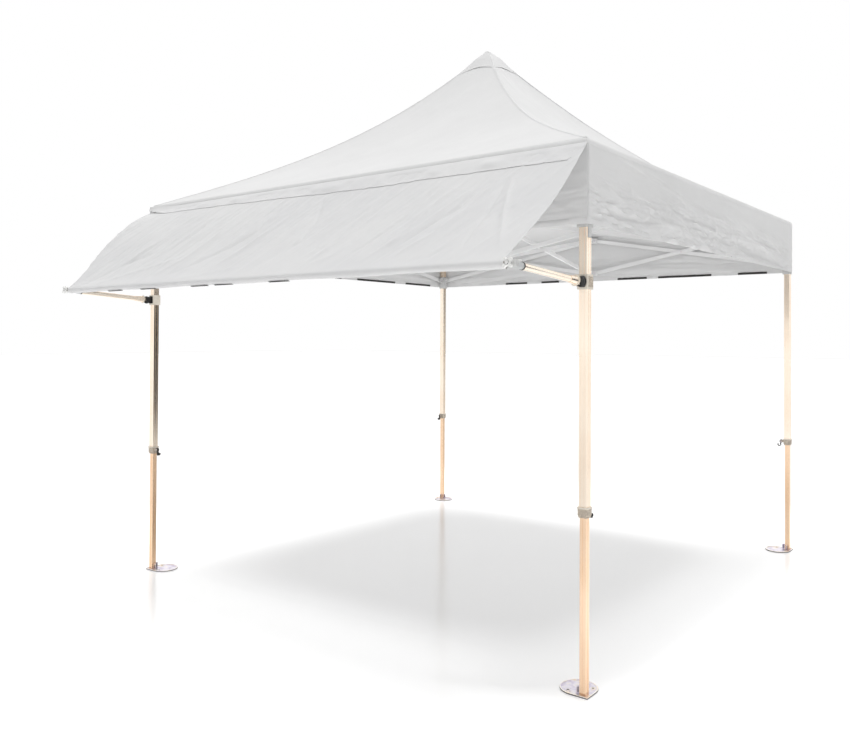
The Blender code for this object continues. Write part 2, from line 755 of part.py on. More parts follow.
champagne = finish("champagne_anodised_aluminium", "E8CDB4", 0.38, 1.0)
champagne_pale = finish("pale_champagne_anodised_aluminium", "F0D4BC", 0.36, 1.0)
silver_bar = finish("silver_anodised_aluminium", "D8D8D6", 0.40, 1.0)
zinc_steel = finish("zinc_plated_steel", "D9D6D8", 0.30, 1.0)
beige_plastic = finish("beige_grey_nylon", "B9AC9C", 0.55)
grey_plastic = finish("light_grey_nylon", "C9C9C8", 0.50)
white_plastic = finish("white_nylon", "F2F2F0", 0.45)
black_plastic = finish("black_nylon", "1A1818", 0.45)
roof_fabric = finish("white_coated_polyester", "ECECEC", 0.75)
awning_fabric = finish("white_awning_polyester", "E4E4E4", 0.75)

tent = empty("tent_middle", None, (0, TENT_Y, 0))
meshes = {
    "upper_leg": upper_leg_mesh(),
    "lower_leg": lower_leg_mesh(),
    "collar": collar_mesh(),
    "lever": lever_mesh(),
    "foot": foot_mesh(),
    "top_bracket": top_bracket_mesh(),
    "slider": slider_mesh(),
    "side_truss": side_truss_mesh(),
    "centre_truss": centre_truss_mesh(),
    "roof_panel": roof_panel_mesh(),
    "valance": valance_mesh(),
}
for corner_name, quarter_turns in CORNERS.items():
    build_leg(corner_name, quarter_turns)
for side_name, quarter_turns in SIDES.items():
    build_side(side_name, quarter_turns)
piece("mast_hub_upper", hub_mesh(TRUSS_TOP_Z), grey_plastic, tent)
piece("mast_hub_lower", hub_mesh(TRUSS_BOTTOM_Z), grey_plastic, tent)
piece("centre_mast", mast_mesh(), silver_bar, tent, smooth=True)
build_awning()
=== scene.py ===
"""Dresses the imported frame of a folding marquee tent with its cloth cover, its awning and its fittings.

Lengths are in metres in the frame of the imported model: X along the front, Y towards the
back and Z up, with the origin on the ground.
"""

import math
import random

import bmesh
import bpy
import numpy as np
from mathutils import Matrix, Vector


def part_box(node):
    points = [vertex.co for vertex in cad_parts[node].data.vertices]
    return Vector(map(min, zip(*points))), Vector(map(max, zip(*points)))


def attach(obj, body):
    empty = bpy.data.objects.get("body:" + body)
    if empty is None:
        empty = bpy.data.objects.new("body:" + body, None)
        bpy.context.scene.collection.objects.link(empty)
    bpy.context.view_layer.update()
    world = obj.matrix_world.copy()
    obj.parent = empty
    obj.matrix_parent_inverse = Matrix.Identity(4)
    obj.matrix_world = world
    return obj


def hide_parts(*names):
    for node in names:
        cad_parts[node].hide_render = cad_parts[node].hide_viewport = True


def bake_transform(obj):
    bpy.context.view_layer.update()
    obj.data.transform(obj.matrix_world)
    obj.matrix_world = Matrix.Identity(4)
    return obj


bl_info = {
    "name": "Marquee tent cover",
    "version": (1, 0, 0),
    "blender": (4, 5, 0),
    "location": "3D View > Sidebar > Marquee",
    "description": "Builds the cloth cover, awning and fittings of a folding marquee tent",
    "category": "Object",
}

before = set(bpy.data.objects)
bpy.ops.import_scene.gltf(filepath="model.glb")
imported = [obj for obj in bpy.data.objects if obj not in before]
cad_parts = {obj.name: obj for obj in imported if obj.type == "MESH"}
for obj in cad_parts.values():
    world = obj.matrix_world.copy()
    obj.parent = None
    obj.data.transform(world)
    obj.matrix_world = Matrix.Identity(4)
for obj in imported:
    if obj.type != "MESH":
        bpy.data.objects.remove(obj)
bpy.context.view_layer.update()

CORNERS = ("front_right", "back_right", "back_left", "front_left")
SIDES = ("front", "right", "back", "left")
TENT = "tent"
QUARTER = math.pi / 2

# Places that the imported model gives
ROOF_LOW, ROOF_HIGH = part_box("roof_panel_front")
ROOF_HALF = ROOF_HIGH.x
TENT_Y = ROOF_LOW.y + ROOF_HALF
EAVE_Z = 2.230
PEAK_Z = 3.305
LEG_CENTRE = 1.476
AWNING_TOP = (1.504, 2.212)  # forward of the middle, and up
AWNING_BAR = (2.031, 1.690)
AWNING_BAR_RADIUS = 0.0125
ARM_HINGE = (1.523, 1.655)


# Small tools


def linear(hex_colour):
    """The linear RGBA of an sRGB hex colour."""
    channels = [int(hex_colour[i : i + 2], 16) / 255 for i in (0, 2, 4)]
    return [c / 12.92 if c <= 0.04045 else ((c + 0.055) / 1.055) ** 2.4 for c in channels] + [1.0]


def add_node(tree, kind, settings=None, links=None):
    """Adds a node. Settings name its properties or its inputs, links give an input its source."""
    node = tree.nodes.new(kind)
    for name, value in (settings or {}).items():
        if isinstance(name, int) or name in node.inputs:
            node.inputs[name].default_value = value
        else:
            setattr(node, name, value)
    for name, source in (links or {}).items():
        tree.links.new(source, node.inputs[name])
    return node


def new_material(name, base, roughness, metallic=0.0, **shader):
    """A material with its Principled shader set to even values. Returns it, its tree and shader."""
    made = bpy.data.materials.new(name)
    made.use_nodes = True
    tree = made.node_tree
    principled = tree.nodes["Principled BSDF"]
    principled.inputs["Base Color"].default_value = linear(base)
    principled.inputs["Roughness"].default_value = roughness
    principled.inputs["Metallic"].default_value = metallic
    for socket, value in shader.items():
        principled.inputs[socket.replace("_", " ")].default_value = value
    made.diffuse_color = linear(base)
    return made, tree, principled


def colour_ramp(tree, source, stops):
    """A ramp over a source, its stops given as place and sRGB hex colour."""
    node = add_node(tree, "ShaderNodeValToRGB", links={"Fac": source})
    ramp = node.color_ramp
    while len(ramp.elements) < len(stops):
        ramp.elements.new(0.5)
    for element, (place, colour) in zip(ramp.elements, stops):
        element.position = place
        element.color = linear(colour)
    return node.outputs["Color"]


def deselect_all():
    if bpy.context.mode != "OBJECT":
        bpy.ops.object.mode_set(mode="OBJECT")
    bpy.ops.object.select_all(action="DESELECT")


def activate(obj):
    deselect_all()
    obj.select_set(True)
    bpy.context.view_layer.objects.active = obj


def apply_modifiers(obj):
    activate(obj)
    for modifier in list(obj.modifiers):
        bpy.ops.object.modifier_apply(modifier=modifier.name)


def settle(obj):
    """Puts an object's place and turn into its mesh."""
    activate(obj)
    bpy.ops.object.transform_apply(location=True, rotation=True, scale=True)


def joined(name, objects):
    """One object from several, at the origin."""
    for obj in objects:
        settle(obj)
    deselect_all()
    for obj in objects:
        obj.select_set(True)
    bpy.context.view_layer.objects.active = objects[0]
    if len(objects) > 1:
        bpy.ops.object.join()
    made = bpy.context.view_layer.objects.active
    made.name = name
    made.data.name = name
    return made


def welded(name, objects):
    """One object from several, with the points that meet made one."""
    made = joined(name, objects)
    bpy.ops.object.mode_set(mode="EDIT")
    bpy.ops.mesh.select_all(action="SELECT")
    bpy.ops.mesh.remove_doubles(threshold=0.0002)
    bpy.ops.object.mode_set(mode="OBJECT")
    return made


def copied(obj, matrix):
    """A copy with its own mesh, moved by a matrix."""
    copy = obj.copy()
    copy.data = obj.data.copy()
    copy.data.transform(matrix)
    if matrix.determinant() < 0:
        copy.data.flip_normals()
    bpy.context.scene.collection.objects.link(copy)
    return copy


def finish_piece(obj, material, body, smooth=40):
    """Shades a piece, gives it its material and lets it ride on a body."""
    obj.data.materials.clear()
    obj.data.materials.append(material)
    activate(obj)
    bpy.ops.object.shade_smooth_by_angle(angle=math.radians(smooth))
    if body is not None:
        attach(obj, body)
    return obj


def quarter_turn(turns):
    """Turns the front side onto another side, about the tent's middle."""
    about = Matrix.Translation((0, TENT_Y, 0))
    return about @ Matrix.Rotation(turns * QUARTER, 4, "Z")


# Cloth


def fold_height(u, v, folds):
    """The height of several crisp creases over a cloth. Each is a line of points, a width and a rise."""
    height = np.zeros_like(u)
    for line, width, rise in folds:
        distance = np.full(u.shape, 9.0)
        place = np.zeros_like(u)
        spans = list(zip(line, line[1:]))
        for k, ((u0, v0), (u1, v1)) in enumerate(spans):
            du, dv = u1 - u0, v1 - v0
            along = np.clip(((u - u0) * du + (v - v0) * dv) / (du * du + dv * dv), 0.0, 1.0)
            away = np.hypot(u - u0 - along * du, v - v0 - along * dv)
            closer = away < distance
            distance = np.where(closer, away, distance)
            place = np.where(closer, (k + along) / len(spans), place)
        fade = 0.15 + 0.85 * np.sin(math.pi * np.clip(place, 0.0, 1.0)) ** 0.6
        crest = np.sqrt((distance / width) ** 2 + 0.03) - 0.17
        height += rise * fade * np.exp(-1.9 * crest)
    return height


def smooth_noise(u, v, seed):
    """Random heights from 0 to 1 on a lattice of cells 1 long, joined smoothly."""
    table = np.random.RandomState(seed).rand(64, 64)
    iu, iv = np.floor(u).astype(int), np.floor(v).astype(int)
    fu, fv = u - iu, v - iv
    fu, fv = fu * fu * (3 - 2 * fu), fv * fv * (3 - 2 * fv)
    corners = [table[(iu + i) % 64, (iv + j) % 64] for j in (0, 1) for i in (0, 1)]
    low = corners[0] * (1 - fu) + corners[1] * fu
    high = corners[2] * (1 - fu) + corners[3] * fu
    return low * (1 - fv) + high * fv


def crumple(u, v, cell, lean, seed):
    """Crisp small creases about 0. The cells are cell long, and lean turns them on the cloth."""
    cos, sin = math.cos(math.radians(lean)), math.sin(math.radians(lean))
    a, b = (u * cos + v * sin) / cell[0], (v * cos - u * sin) / cell[1]
    a = a + 0.7 * smooth_noise(a * 0.7, b * 0.7, seed + 1)
    b = b + 0.9 * smooth_noise(a * 0.5, b * 0.5, seed + 2)
    height = np.zeros_like(a)
    for octave in range(3):
        size = 1.9**octave
        ridge = 1 - np.abs(2 * smooth_noise(a * size, b * size, seed + 3 + octave) - 1)
        height += ridge**2.2 / size / 1.8
    return height - height.mean()


def cloth_from(name, points, flat, thickness=0.0012, closed=False):
    """A sheet from a grid of points, with a UV map of its flat lengths and a thin wall inwards."""
    rows, columns = points.shape[:2]
    mesh = bpy.data.meshes.new(name)
    across = columns if closed else columns - 1
    faces = []
    for i in range(rows - 1):
        for j in range(across):
            k = (j + 1) % columns
            faces.append((i * columns + j, i * columns + k, (i + 1) * columns + k, (i + 1) * columns + j))
    mesh.from_pydata(points.reshape(-1, 3).tolist(), [], faces)
    layer = mesh.uv_layers.new(name="cloth")
    places = []
    for i in range(rows - 1):
        for j in range(across):
            places += [flat[i, j], flat[i, j + 1], flat[i + 1, j + 1], flat[i + 1, j]]
    layer.data.foreach_set("uv", np.array(places, np.float32).ravel())
    obj = bpy.data.objects.new(name, mesh)
    bpy.context.scene.collection.objects.link(obj)
    wall = obj.modifiers.new("wall", "SOLIDIFY")
    wall.thickness = thickness
    wall.offset = -1.0
    apply_modifiers(obj)
    return obj


# How far the hip to the back right corner stands above the plain curve: distance out, and height
HIP_RISE = (
    (0.0, 0.06, 0.16, 0.25, 0.35, 0.45, 0.55, 0.62, 0.72, 0.82, 0.92, 1.0, 1.1, 1.2, 1.35, 1.5),
    (0.0, 0.014, 0.022, 0.028, 0.031, 0.028, 0.025, 0.021, 0.015, 0.005, -0.004, -0.010, -0.016, -0.014, -0.010, 0.0),
)


def roof_height(half_width, back_right=0.0):
    """The roof's height at a half width. back_right is 1 on the hip to that corner, 0 on the others."""
    share = 1 - half_width / ROOF_HALF
    plain = EAVE_Z + (PEAK_Z - EAVE_Z) * (0.62 * share + 0.38 * share**3)
    crown = 0.010 * np.exp(-(((half_width - 0.06) / 0.04) ** 2))
    return plain + crown + back_right * np.interp(half_width, *HIP_RISE)


def hip_share(turns, t):
    """How much of the back right hip's height a panel takes at t, from -1 to 1 between its hips."""
    if turns == 1:
        return ((1 + t) / 2) ** 2
    if turns == 2:
        return ((1 - t) / 2) ** 2
    return 0 * t


def roof_cover():
    """The roof: four panels of one cover, drawn down a little between their hips."""
    rows, columns = 80, 70
    panels = []
    for turns in range(4):
        steps = np.linspace(0, 1, rows)
        half = 0.012 + (ROOF_HALF - EAVE_RADIUS - 0.012) * steps
        t = np.linspace(-1, 1, columns)
        grid = np.zeros((rows, columns, 3))
        s = half[:, None] * np.ones((1, columns))
        x = half[:, None] * t[None, :]
        z = roof_height(s, hip_share(turns, t)[None, :])
        share = 1 - s / ROOF_HALF
        sag = 0.014 * (1 - t[None, :] ** 2) * np.sin(math.pi * share) ** 0.8
        slope = np.hypot(s, z - PEAK_Z)
        creases = []
        rand = random.Random(11 + turns)
        for _ in range(9):
            lean = rand.uniform(-0.85, 0.85)
            start = rand.uniform(0.15, 0.9)
            end = start + rand.uniform(0.4, 0.9)
            line = [(start * lean * 0.8, start), (end * lean * 0.8, end)]
            creases.append((line, rand.uniform(0.02, 0.05), rand.uniform(-0.0025, 0.0025)))
        z = z - sag + fold_height(x, slope, creases) * (1 - t[None, :] ** 4)
        small = crumple(x, slope, (0.10, 0.45), 12, 60 + turns)
        z = z + 0.0040 * small * np.clip(share / 0.1, 0, 1) * (1 - t[None, :] ** 8)
        z[0] = PEAK_Z - 0.008
        grid[..., 0], grid[..., 1], grid[..., 2] = x, -s, z
        flat = np.zeros((rows, columns + 1, 2))
        flat[:, :columns, 0], flat[:, :columns, 1] = x + turns * 3.2, slope
        placed = grid @ np.array(Matrix.Rotation(turns * QUARTER, 3, "Z")).T
        placed[..., 1] += TENT_Y
        panels.append(cloth_from("roof_panel_cloth", placed[::-1], flat[::-1]))
    return welded("roof_cover", panels)


VALANCE_TOP_Z = EAVE_Z - 0.001
VALANCE_DROP = 0.341
EAVE_RADIUS = 0.016  # of the cloth's turn over the edge


# Creases of the right side's band, as distances round the eaves and down from them
SIDE_FOLDS = [
    ([(3.04, 0.189), (3.18, 0.204), (3.32, 0.222), (3.46, 0.215)], 0.018, 0.0060),
    ([(3.05, 0.210), (3.14, 0.239), (3.27, 0.227)], 0.012, -0.0040),
    ([(3.06, 0.287), (3.19, 0.253), (3.33, 0.226)], 0.012, 0.0050),
    ([(3.10, 0.291), (3.32, 0.280), (3.54, 0.277), (3.77, 0.260)], 0.020, -0.0080),
    ([(3.42, 0.246), (3.52, 0.265), (3.63, 0.272)], 0.010, -0.0050),
    ([(3.46, 0.215), (3.67, 0.228), (3.91, 0.227), (4.17, 0.226)], 0.022, 0.0050),
    ([(3.54, 0.276), (3.80, 0.280), (4.09, 0.277), (4.40, 0.292)], 0.024, 0.0060),
    ([(3.72, 0.072), (3.91, 0.088), (4.15, 0.110)], 0.014, -0.0060),
    ([(3.80, 0.022), (4.09, 0.026), (4.43, 0.037)], 0.025, 0.0060),
    ([(3.36, 0.080), (3.60, 0.086), (3.87, 0.107), (4.09, 0.134)], 0.030, 0.0050),
    ([(3.94, 0.111), (4.30, 0.137), (4.65, 0.141)], 0.025, -0.0050),
    ([(4.30, 0.152), (4.65, 0.173), (5.01, 0.185)], 0.025, 0.0050),
    ([(4.51, 0.219), (5.01, 0.227), (5.41, 0.234), (5.91, 0.291)], 0.016, 0.0090),
    ([(4.47, 0.263), (4.90, 0.270), (5.38, 0.290), (5.86, 0.329)], 0.030, -0.0090),
    ([(4.75, 0.098), (5.14, 0.119), (5.59, 0.144), (5.93, 0.208)], 0.035, -0.0060),
    ([(3.91, 0.199), (4.13, 0.201), (4.43, 0.198)], 0.018, -0.0050),
    ([(3.77, 0.162), (4.02, 0.172), (4.30, 0.175)], 0.016, 0.0040),
    ([(3.11, 0.342), (3.36, 0.327), (3.67, 0.334), (4.02, 0.335)], 0.030, -0.0050),
    ([(3.04, 0.235), (3.11, 0.225), (3.21, 0.224)], 0.009, 0.0040),
    ([(3.02, 0.260), (3.09, 0.263), (3.15, 0.255)], 0.008, -0.0040),
    ([(4.21, 0.265), (4.51, 0.266), (4.75, 0.276)], 0.020, -0.0040),
    ([(4.56, 0.058), (4.88, 0.066), (5.29, 0.068)], 0.030, 0.0040),
    ([(3.00, 0.185), (3.06, 0.205), (3.14, 0.212)], 0.007, 0.0070),
    ([(3.00, 0.215), (3.07, 0.222), (3.16, 0.245)], 0.007, 0.0060),
    ([(3.00, 0.245), (3.06, 0.250), (3.13, 0.272), (3.20, 0.279)], 0.007, 0.0070),
    ([(3.00, 0.268), (3.08, 0.262), (3.20, 0.248), (3.34, 0.262)], 0.008, 0.0080),
    ([(3.02, 0.300), (3.12, 0.292), (3.25, 0.296)], 0.007, 0.0060),
    ([(3.35, 0.240), (3.45, 0.262), (3.58, 0.270)], 0.007, 0.0070),
    ([(3.25, 0.030), (3.40, 0.050), (3.60, 0.075)], 0.012, 0.0060),
    ([(3.55, 0.050), (3.70, 0.062), (3.90, 0.085)], 0.010, 0.0070),
    ([(4.90, 0.200), (5.30, 0.235), (5.80, 0.300)], 0.010, 0.0070),
    ([(5.20, 0.170), (5.50, 0.200), (5.90, 0.280)], 0.011, 0.0080),
]


# How strongly each side of the band is creased, from the front round to the left
SIDE_STRENGTH = (0.5, 1.5, 0.7, 0.7)


def valance_folds():
    """The right side's creases, and the same turned end for end on the sides next to it."""
    width = 2 * ROOF_HALF
    folds = []
    for side in range(4):
        for line, spread, rise in SIDE_FOLDS:
            along = [(u - width, v) for u, v in line]
            if side % 2 == 0:
                along = [(width - u, v) for u, v in along]
            folds.append(([(u + side * width, v) for u, v in along], spread, rise * SIDE_STRENGTH[side]))
    return folds


def valance_point(u, v, folds, stand=0.0):
    """Points of the band round the eaves. u runs round from the front left, v runs down."""
    width = 2 * ROOF_HALF
    side = np.floor(u / width).astype(int) % 4
    along = u - np.floor(u / width) * width
    radius = 0.003
    drop = np.clip(v / VALANCE_DROP, 0, 1)
    corner = np.minimum(along, width - along)
    free = np.clip((corner - 0.03) / 0.10, 0.0, 1.0)
    busy = np.clip((v - 0.05) / 0.09, 0, 1) * (0.25 + 0.75 * np.clip((v - 0.12) / 0.08, 0, 1))
    busy = busy * (0.45 + 0.55 * smooth_noise(u * 1.3, v * 4.0, 5)) * np.clip(corner / 0.06, 0.35, 1)
    small = crumple(u, v - 0.06 * along, (0.13, 0.036), 0, 20)
    out = fold_height(u, v, folds) * drop**0.4 + 0.015 * busy * np.array(SIDE_STRENGTH)[side] * small
    out = out + 0.005 * drop * free
    out = np.clip(out, -0.0005 - 0.0055 * free, 0.03) + stand
    round_over = EAVE_RADIUS - np.sqrt(np.maximum(EAVE_RADIUS**2 - np.maximum(EAVE_RADIUS - v, 0) ** 2, 0))
    x = (along - ROOF_HALF) * (ROOF_HALF - round_over) / ROOF_HALF
    inset = radius - np.sqrt(np.maximum(radius**2 - np.maximum(radius - corner, 0) ** 2, 0))
    y = -ROOF_HALF + round_over + inset - out
    x = x + out * np.sign(x) * np.clip(1 - corner / 0.02, 0, 1)
    z = VALANCE_TOP_Z - v + 0.006 * np.clip(1 - v / EAVE_RADIUS, 0, 1) ** 2
    cos, sin = np.cos(side * QUARTER), np.sin(side * QUARTER)
    return np.stack([x * cos - y * sin, x * sin + y * cos + TENT_Y, z + 0 * u], axis=-1)


def valance_cover():
    """The band that hangs round the four sides from the eaves."""
    rows = 64
    width = 2 * ROOF_HALF
    columns = (160, 290, 140, 150)
    u = np.concatenate([side * width + np.arange(n) * width / n for side, n in enumerate(columns)])
    count = len(u)
    v = VALANCE_DROP * np.linspace(0, 1, rows) ** 1.25
    uu, vv = np.meshgrid(u, v)
    points = valance_point(uu, vv, valance_folds())
    flat = np.zeros((rows, count + 1, 2))
    flat[..., 0] = np.append(u, 8 * ROOF_HALF)[None, :]
    flat[..., 1] = v[:, None]
    return cloth_from("valance_cover", points, flat, closed=True)


def awning_axes():
    top, bar = Vector(AWNING_TOP), Vector(AWNING_BAR)
    line = top - bar
    up = line.normalized()
    return bar, line.length, up, Vector((up.y, -up.x))


# Creases of the awning, as distances across from the middle and down from the eave
AWNING_FOLDS = [
    ([(1.09, 0.156), (1.05, 0.344), (0.94, 0.481), (0.85, 0.620), (0.79, 0.722)], 0.020, -0.0050),
    ([(1.17, 0.183), (1.10, 0.373), (1.01, 0.532), (0.88, 0.675)], 0.020, 0.0050),
    ([(1.21, 0.214), (1.22, 0.413), (1.21, 0.557), (1.22, 0.714)], 0.014, -0.0050),
    ([(0.93, 0.207), (0.88, 0.407), (0.83, 0.554), (0.72, 0.691)], 0.020, 0.0040),
    ([(0.84, 0.179), (0.78, 0.393), (0.69, 0.538), (0.61, 0.651)], 0.020, -0.0040),
    ([(1.22, 0.170), (1.30, 0.426), (1.40, 0.674)], 0.016, 0.0040),
    ([(0.56, 0.190), (0.50, 0.377), (0.44, 0.579), (0.38, 0.663)], 0.025, 0.0030),
    ([(0.13, 0.155), (0.20, 0.322), (0.22, 0.486), (0.13, 0.619)], 0.018, -0.0040),
    ([(-0.09, 0.173), (-0.10, 0.398), (-0.17, 0.543), (-0.33, 0.679)], 0.020, 0.0030),
    ([(-0.23, 0.178), (-0.18, 0.362), (-0.28, 0.481), (-0.47, 0.618), (-0.59, 0.686)], 0.016, -0.0040),
    ([(-0.45, 0.174), (-0.48, 0.379), (-0.58, 0.557), (-0.72, 0.677)], 0.020, 0.0040),
    ([(-0.64, 0.145), (-0.70, 0.325), (-0.81, 0.482), (-0.96, 0.620)], 0.018, -0.0040),
    ([(-0.85, 0.144), (-0.94, 0.355), (-1.08, 0.513), (-1.24, 0.684)], 0.022, 0.0040),
    ([(-1.10, 0.138), (-1.19, 0.326), (-1.27, 0.497), (-1.34, 0.664)], 0.018, -0.0040),
    ([(-0.91, 0.473), (-1.12, 0.567), (-1.28, 0.682), (-1.37, 0.746)], 0.022, -0.0060),
    ([(-0.61, 0.527), (-0.89, 0.625), (-1.15, 0.703), (-1.35, 0.764)], 0.016, 0.0040),
    ([(-0.03, 0.653), (-0.33, 0.703), (-0.67, 0.744)], 0.012, 0.0030),
    ([(0.58, 0.548), (0.52, 0.631), (0.39, 0.697)], 0.014, 0.0030),
    ([(1.16, 0.611), (1.09, 0.684), (0.98, 0.724)], 0.014, -0.0030),
    ([(-1.35, 0.119), (-1.43, 0.237), (-1.46, 0.389)], 0.020, 0.0060),
]


# How far the sheet swells out at its left end: share of the way down, and height
LEFT_SWELL = (
    (0.0, 0.05, 0.12, 0.19, 0.256, 0.35, 0.444, 0.58, 0.727, 0.85, 0.923, 1.0),
    (0.0, 0.006, 0.0155, 0.0205, 0.022, 0.0225, 0.0205, 0.012, 0.0030, -0.0035, -0.0050, 0.0),
)


# Half the sheet's width at distances down from the eave
AWNING_EDGE = ((0.0, 0.34, 0.45, 0.52, 0.61, 0.67, 0.71, 0.75), (1.500, 1.500, 1.492, 1.482, 1.468, 1.460, 1.457, 1.456))


def awning_surface(x, down, stand=0.0):
    """Points of the sloping sheet. down runs from its upper edge to the bar."""
    bar, length, up, out = awning_axes()
    share = np.clip(down / length, 0, 1)
    lift = (AWNING_BAR_RADIUS + 0.0026) * share + 0.0004 * (1 - share) + stand
    leftness = np.clip((0.35 - x) / 1.835, 0, 1) ** 1.5
    lift = lift + np.interp(share, *LEFT_SWELL) * leftness
    lift = lift - 0.012 * np.sin(math.pi * share) ** 0.8 * (1 - leftness)
    small = crumple(x, down, (0.042, 0.40), 30, 40)
    lift = lift + (1.9 * fold_height(x, down, AWNING_FOLDS) + 0.0085 * small) * np.sin(math.pi * share) ** 0.5
    forward = bar.x + up.x * (length - down) + out.x * lift
    droop = 0.026 * np.clip((-x - 0.6) / 0.885, 0, 1) ** 2 * (1 - share) ** 4
    z = bar.y + up.y * (length - down) + out.y * lift - droop
    return np.stack([x, TENT_Y - forward, z], axis=-1)


def awning_cloth():
    """The sloping sheet, with its lower edge sewn into a sleeve round the bar."""
    bar, length, up, out = awning_axes()
    across = np.linspace(-1, 1, 440)
    down = np.linspace(0.004, length, 78)
    xx, dd = np.meshgrid(across, down)
    sheet = awning_surface(xx * np.interp(dd, *AWNING_EDGE), dd)
    x = across * AWNING_EDGE[1][-1]
    turns = np.linspace(0, 1, 19)[1:]
    rows = []
    for turn in turns:
        angle = turn * math.radians(320)
        loose = 1 + 0.10 * math.sin(angle / 2) ** 2
        reach = (AWNING_BAR_RADIUS + 0.0026) * loose
        wave = 0.0022 * np.sin(x * 9.0 + 1.3) * math.sin(angle / 2) ** 2
        forward = bar.x + (reach + wave) * (out.x * math.cos(angle) - up.x * math.sin(angle))
        z = bar.y + (reach + wave) * (out.y * math.cos(angle) - up.y * math.sin(angle))
        rows.append(np.stack([x, TENT_Y - forward, z], axis=-1))
    points = np.concatenate([sheet, np.array(rows)])
    flat = np.zeros((points.shape[0], points.shape[1] + 1, 2))
    flat[:, :-1, 0] = x[None, :]
    flat[: len(down), :, 1] = down[:, None]
    flat[len(down) :, :, 1] = length + turns[:, None] * 0.085
    return cloth_from("awning_cloth", points, flat)


def awning_hems():
    """The sheet's turned and sewn side hems, 12 mm wide."""
    bar, length, up, out = awning_axes()
    down = np.linspace(0.004, length - 0.004, 84)
    strips = []
    for side in (-1, 1):
        inwards = np.array([-0.0012, 0.0, 0.0040, 0.0080, 0.0120])
        if side > 0:
            inwards = inwards[::-1]
        aa, dd = np.meshgrid(inwards, down)
        points = awning_surface(side * (np.interp(dd, *AWNING_EDGE) - aa), dd, stand=0.0011)
        flat = np.zeros((len(down), len(inwards) + 1, 2))
        flat[:, :-1, 0], flat[..., 1] = side * (1.5 - aa), down[:, None]
        strips.append(cloth_from("side_hem", points, flat, 0.0008))
    return joined("awning_hems", strips)


def eave_flap():
    """The strip sewn along the front eave, shorter and nearly upright at its left end."""
    rows = 14
    x = np.linspace(-1.488, 1.500, 220)
    share = np.linspace(0, 1, rows)
    xx, ss = np.meshgrid(x, share)
    reach = 0.048 + 0.044 * np.clip((xx + 1.488) / 1.9, 0, 1) ** 0.7
    begin = 0.016 * np.clip((xx + 1.488) / 0.3, 0, 1)
    xx = np.minimum(xx, 1.500 - 0.050 * ss**1.2)
    reach = reach * (1 + 0.022 * np.sin(xx * 5.1) + 0.016 * np.sin(xx * 13.7 + 1.0))
    points = awning_surface(xx, begin + ss * reach, stand=0.0032 - 0.0006 * ss)
    waves = 0.0030 * np.sin(xx * 7.3 + 0.6) + 0.0026 * np.sin(xx * 19.0) + 0.0016 * np.sin(xx * 41.0 + 2.0)
    ripple = waves * np.sin(math.pi * ss) ** 2
    points[..., 1] -= ripple
    points[..., 2] += ripple
    upright = np.clip((-xx - 1.22) / 0.26, 0, 1) ** 1.5
    hanging = TENT_Y - ROOF_HALF - 0.0045 - 0.006 * ss
    points[..., 1] = points[..., 1] * (1 - upright) + hanging * upright
    points[..., 2] = points[..., 2] * (1 - upright) + (EAVE_Z - 0.028 * ss) * upright
    points[0, :, 1] = TENT_Y - ROOF_HALF - 0.0035
    points[0, :, 2] = EAVE_Z - 0.002 - begin[0]
    flat = np.zeros((rows, len(x) + 1, 2))
    flat[:, :-1, 0] = xx
    flat[..., 1] = (ss * reach)[:, :1]
    return cloth_from("eave_flap", points, flat)


def peak_patch():
    """The second layer sewn over the peak, its lower edge arched on every side."""
    rows, columns = 12, 25
    panels = []
    for turns in range(4):
        t = np.linspace(-1, 1, columns)[None, :]
        reach = 0.148 - 0.030 * (1 - t**2)
        half = 0.010 + (reach - 0.010) * np.linspace(0, 1, rows)[:, None]
        x, z = half * t, roof_height(half, hip_share(turns, t)) + 0.0016
        z[0] = PEAK_Z - 0.0055
        grid = np.stack([x, -half, z], axis=-1)
        flat = np.zeros((rows, columns + 1, 2))
        flat[:, :-1, 0], flat[:, :-1, 1] = x + turns, np.hypot(half, z - PEAK_Z)
        placed = grid @ np.array(Matrix.Rotation(turns * QUARTER, 3, "Z")).T
        placed[..., 1] += TENT_Y
        panels.append(cloth_from("peak_layer", placed[::-1], flat[::-1], 0.0010))
    return welded("peak_patch", panels)


def hip_seams():
    """The folded seams, 16 mm wide, that join the roof's panels along the hips."""
    strips = []
    half = np.linspace(0.120, ROOF_HALF - EAVE_RADIUS, 64)
    across = np.linspace(-1, 1, 7)
    for turns in range(4):
        grid = np.zeros((len(half), len(across), 3))
        for j, a in enumerate(across):
            left, right = max(-a, 0.0) * 0.011, max(a, 0.0) * 0.011
            grid[:, j, 0], grid[:, j, 1] = half - left, right - half
            high = roof_height(half, 1.0 if turns == 1 else 0.0)
            grid[:, j, 2] = high + 0.0012 * (1 - a * a) + 0.0004
        flat = np.zeros((len(half), len(across) + 1, 2))
        flat[:, :-1, 0] = across[None, :] * 0.008
        flat[..., 1] = (half * 1.6)[:, None]
        placed = grid @ np.array(Matrix.Rotation(turns * QUARTER, 3, "Z")).T
        placed[..., 1] += TENT_Y
        strips.append(cloth_from("hip_seam", placed, flat, 0.0008))
    return joined("hip_seams", strips)


def valance_hem():
    """The band's turned-up lower hem, 24 mm deep."""
    u = np.linspace(0, 8 * ROOF_HALF, 640, endpoint=False)
    v = np.array([VALANCE_DROP - 0.024, VALANCE_DROP - 0.0235, VALANCE_DROP - 0.012, VALANCE_DROP, VALANCE_DROP + 0.0008])
    uu, vv = np.meshgrid(u, v)
    stand = np.array([0.0, 0.0010, 0.0012, 0.0010, 0.0002])[:, None]
    points = valance_point(uu, vv, valance_folds(), stand)
    flat = np.zeros((len(v), len(u) + 1, 2))
    flat[..., 0] = np.append(u, 8 * ROOF_HALF)[None, :]
    flat[..., 1] = v[:, None]
    return cloth_from("valance_hem", points, flat, 0.0008, closed=True)


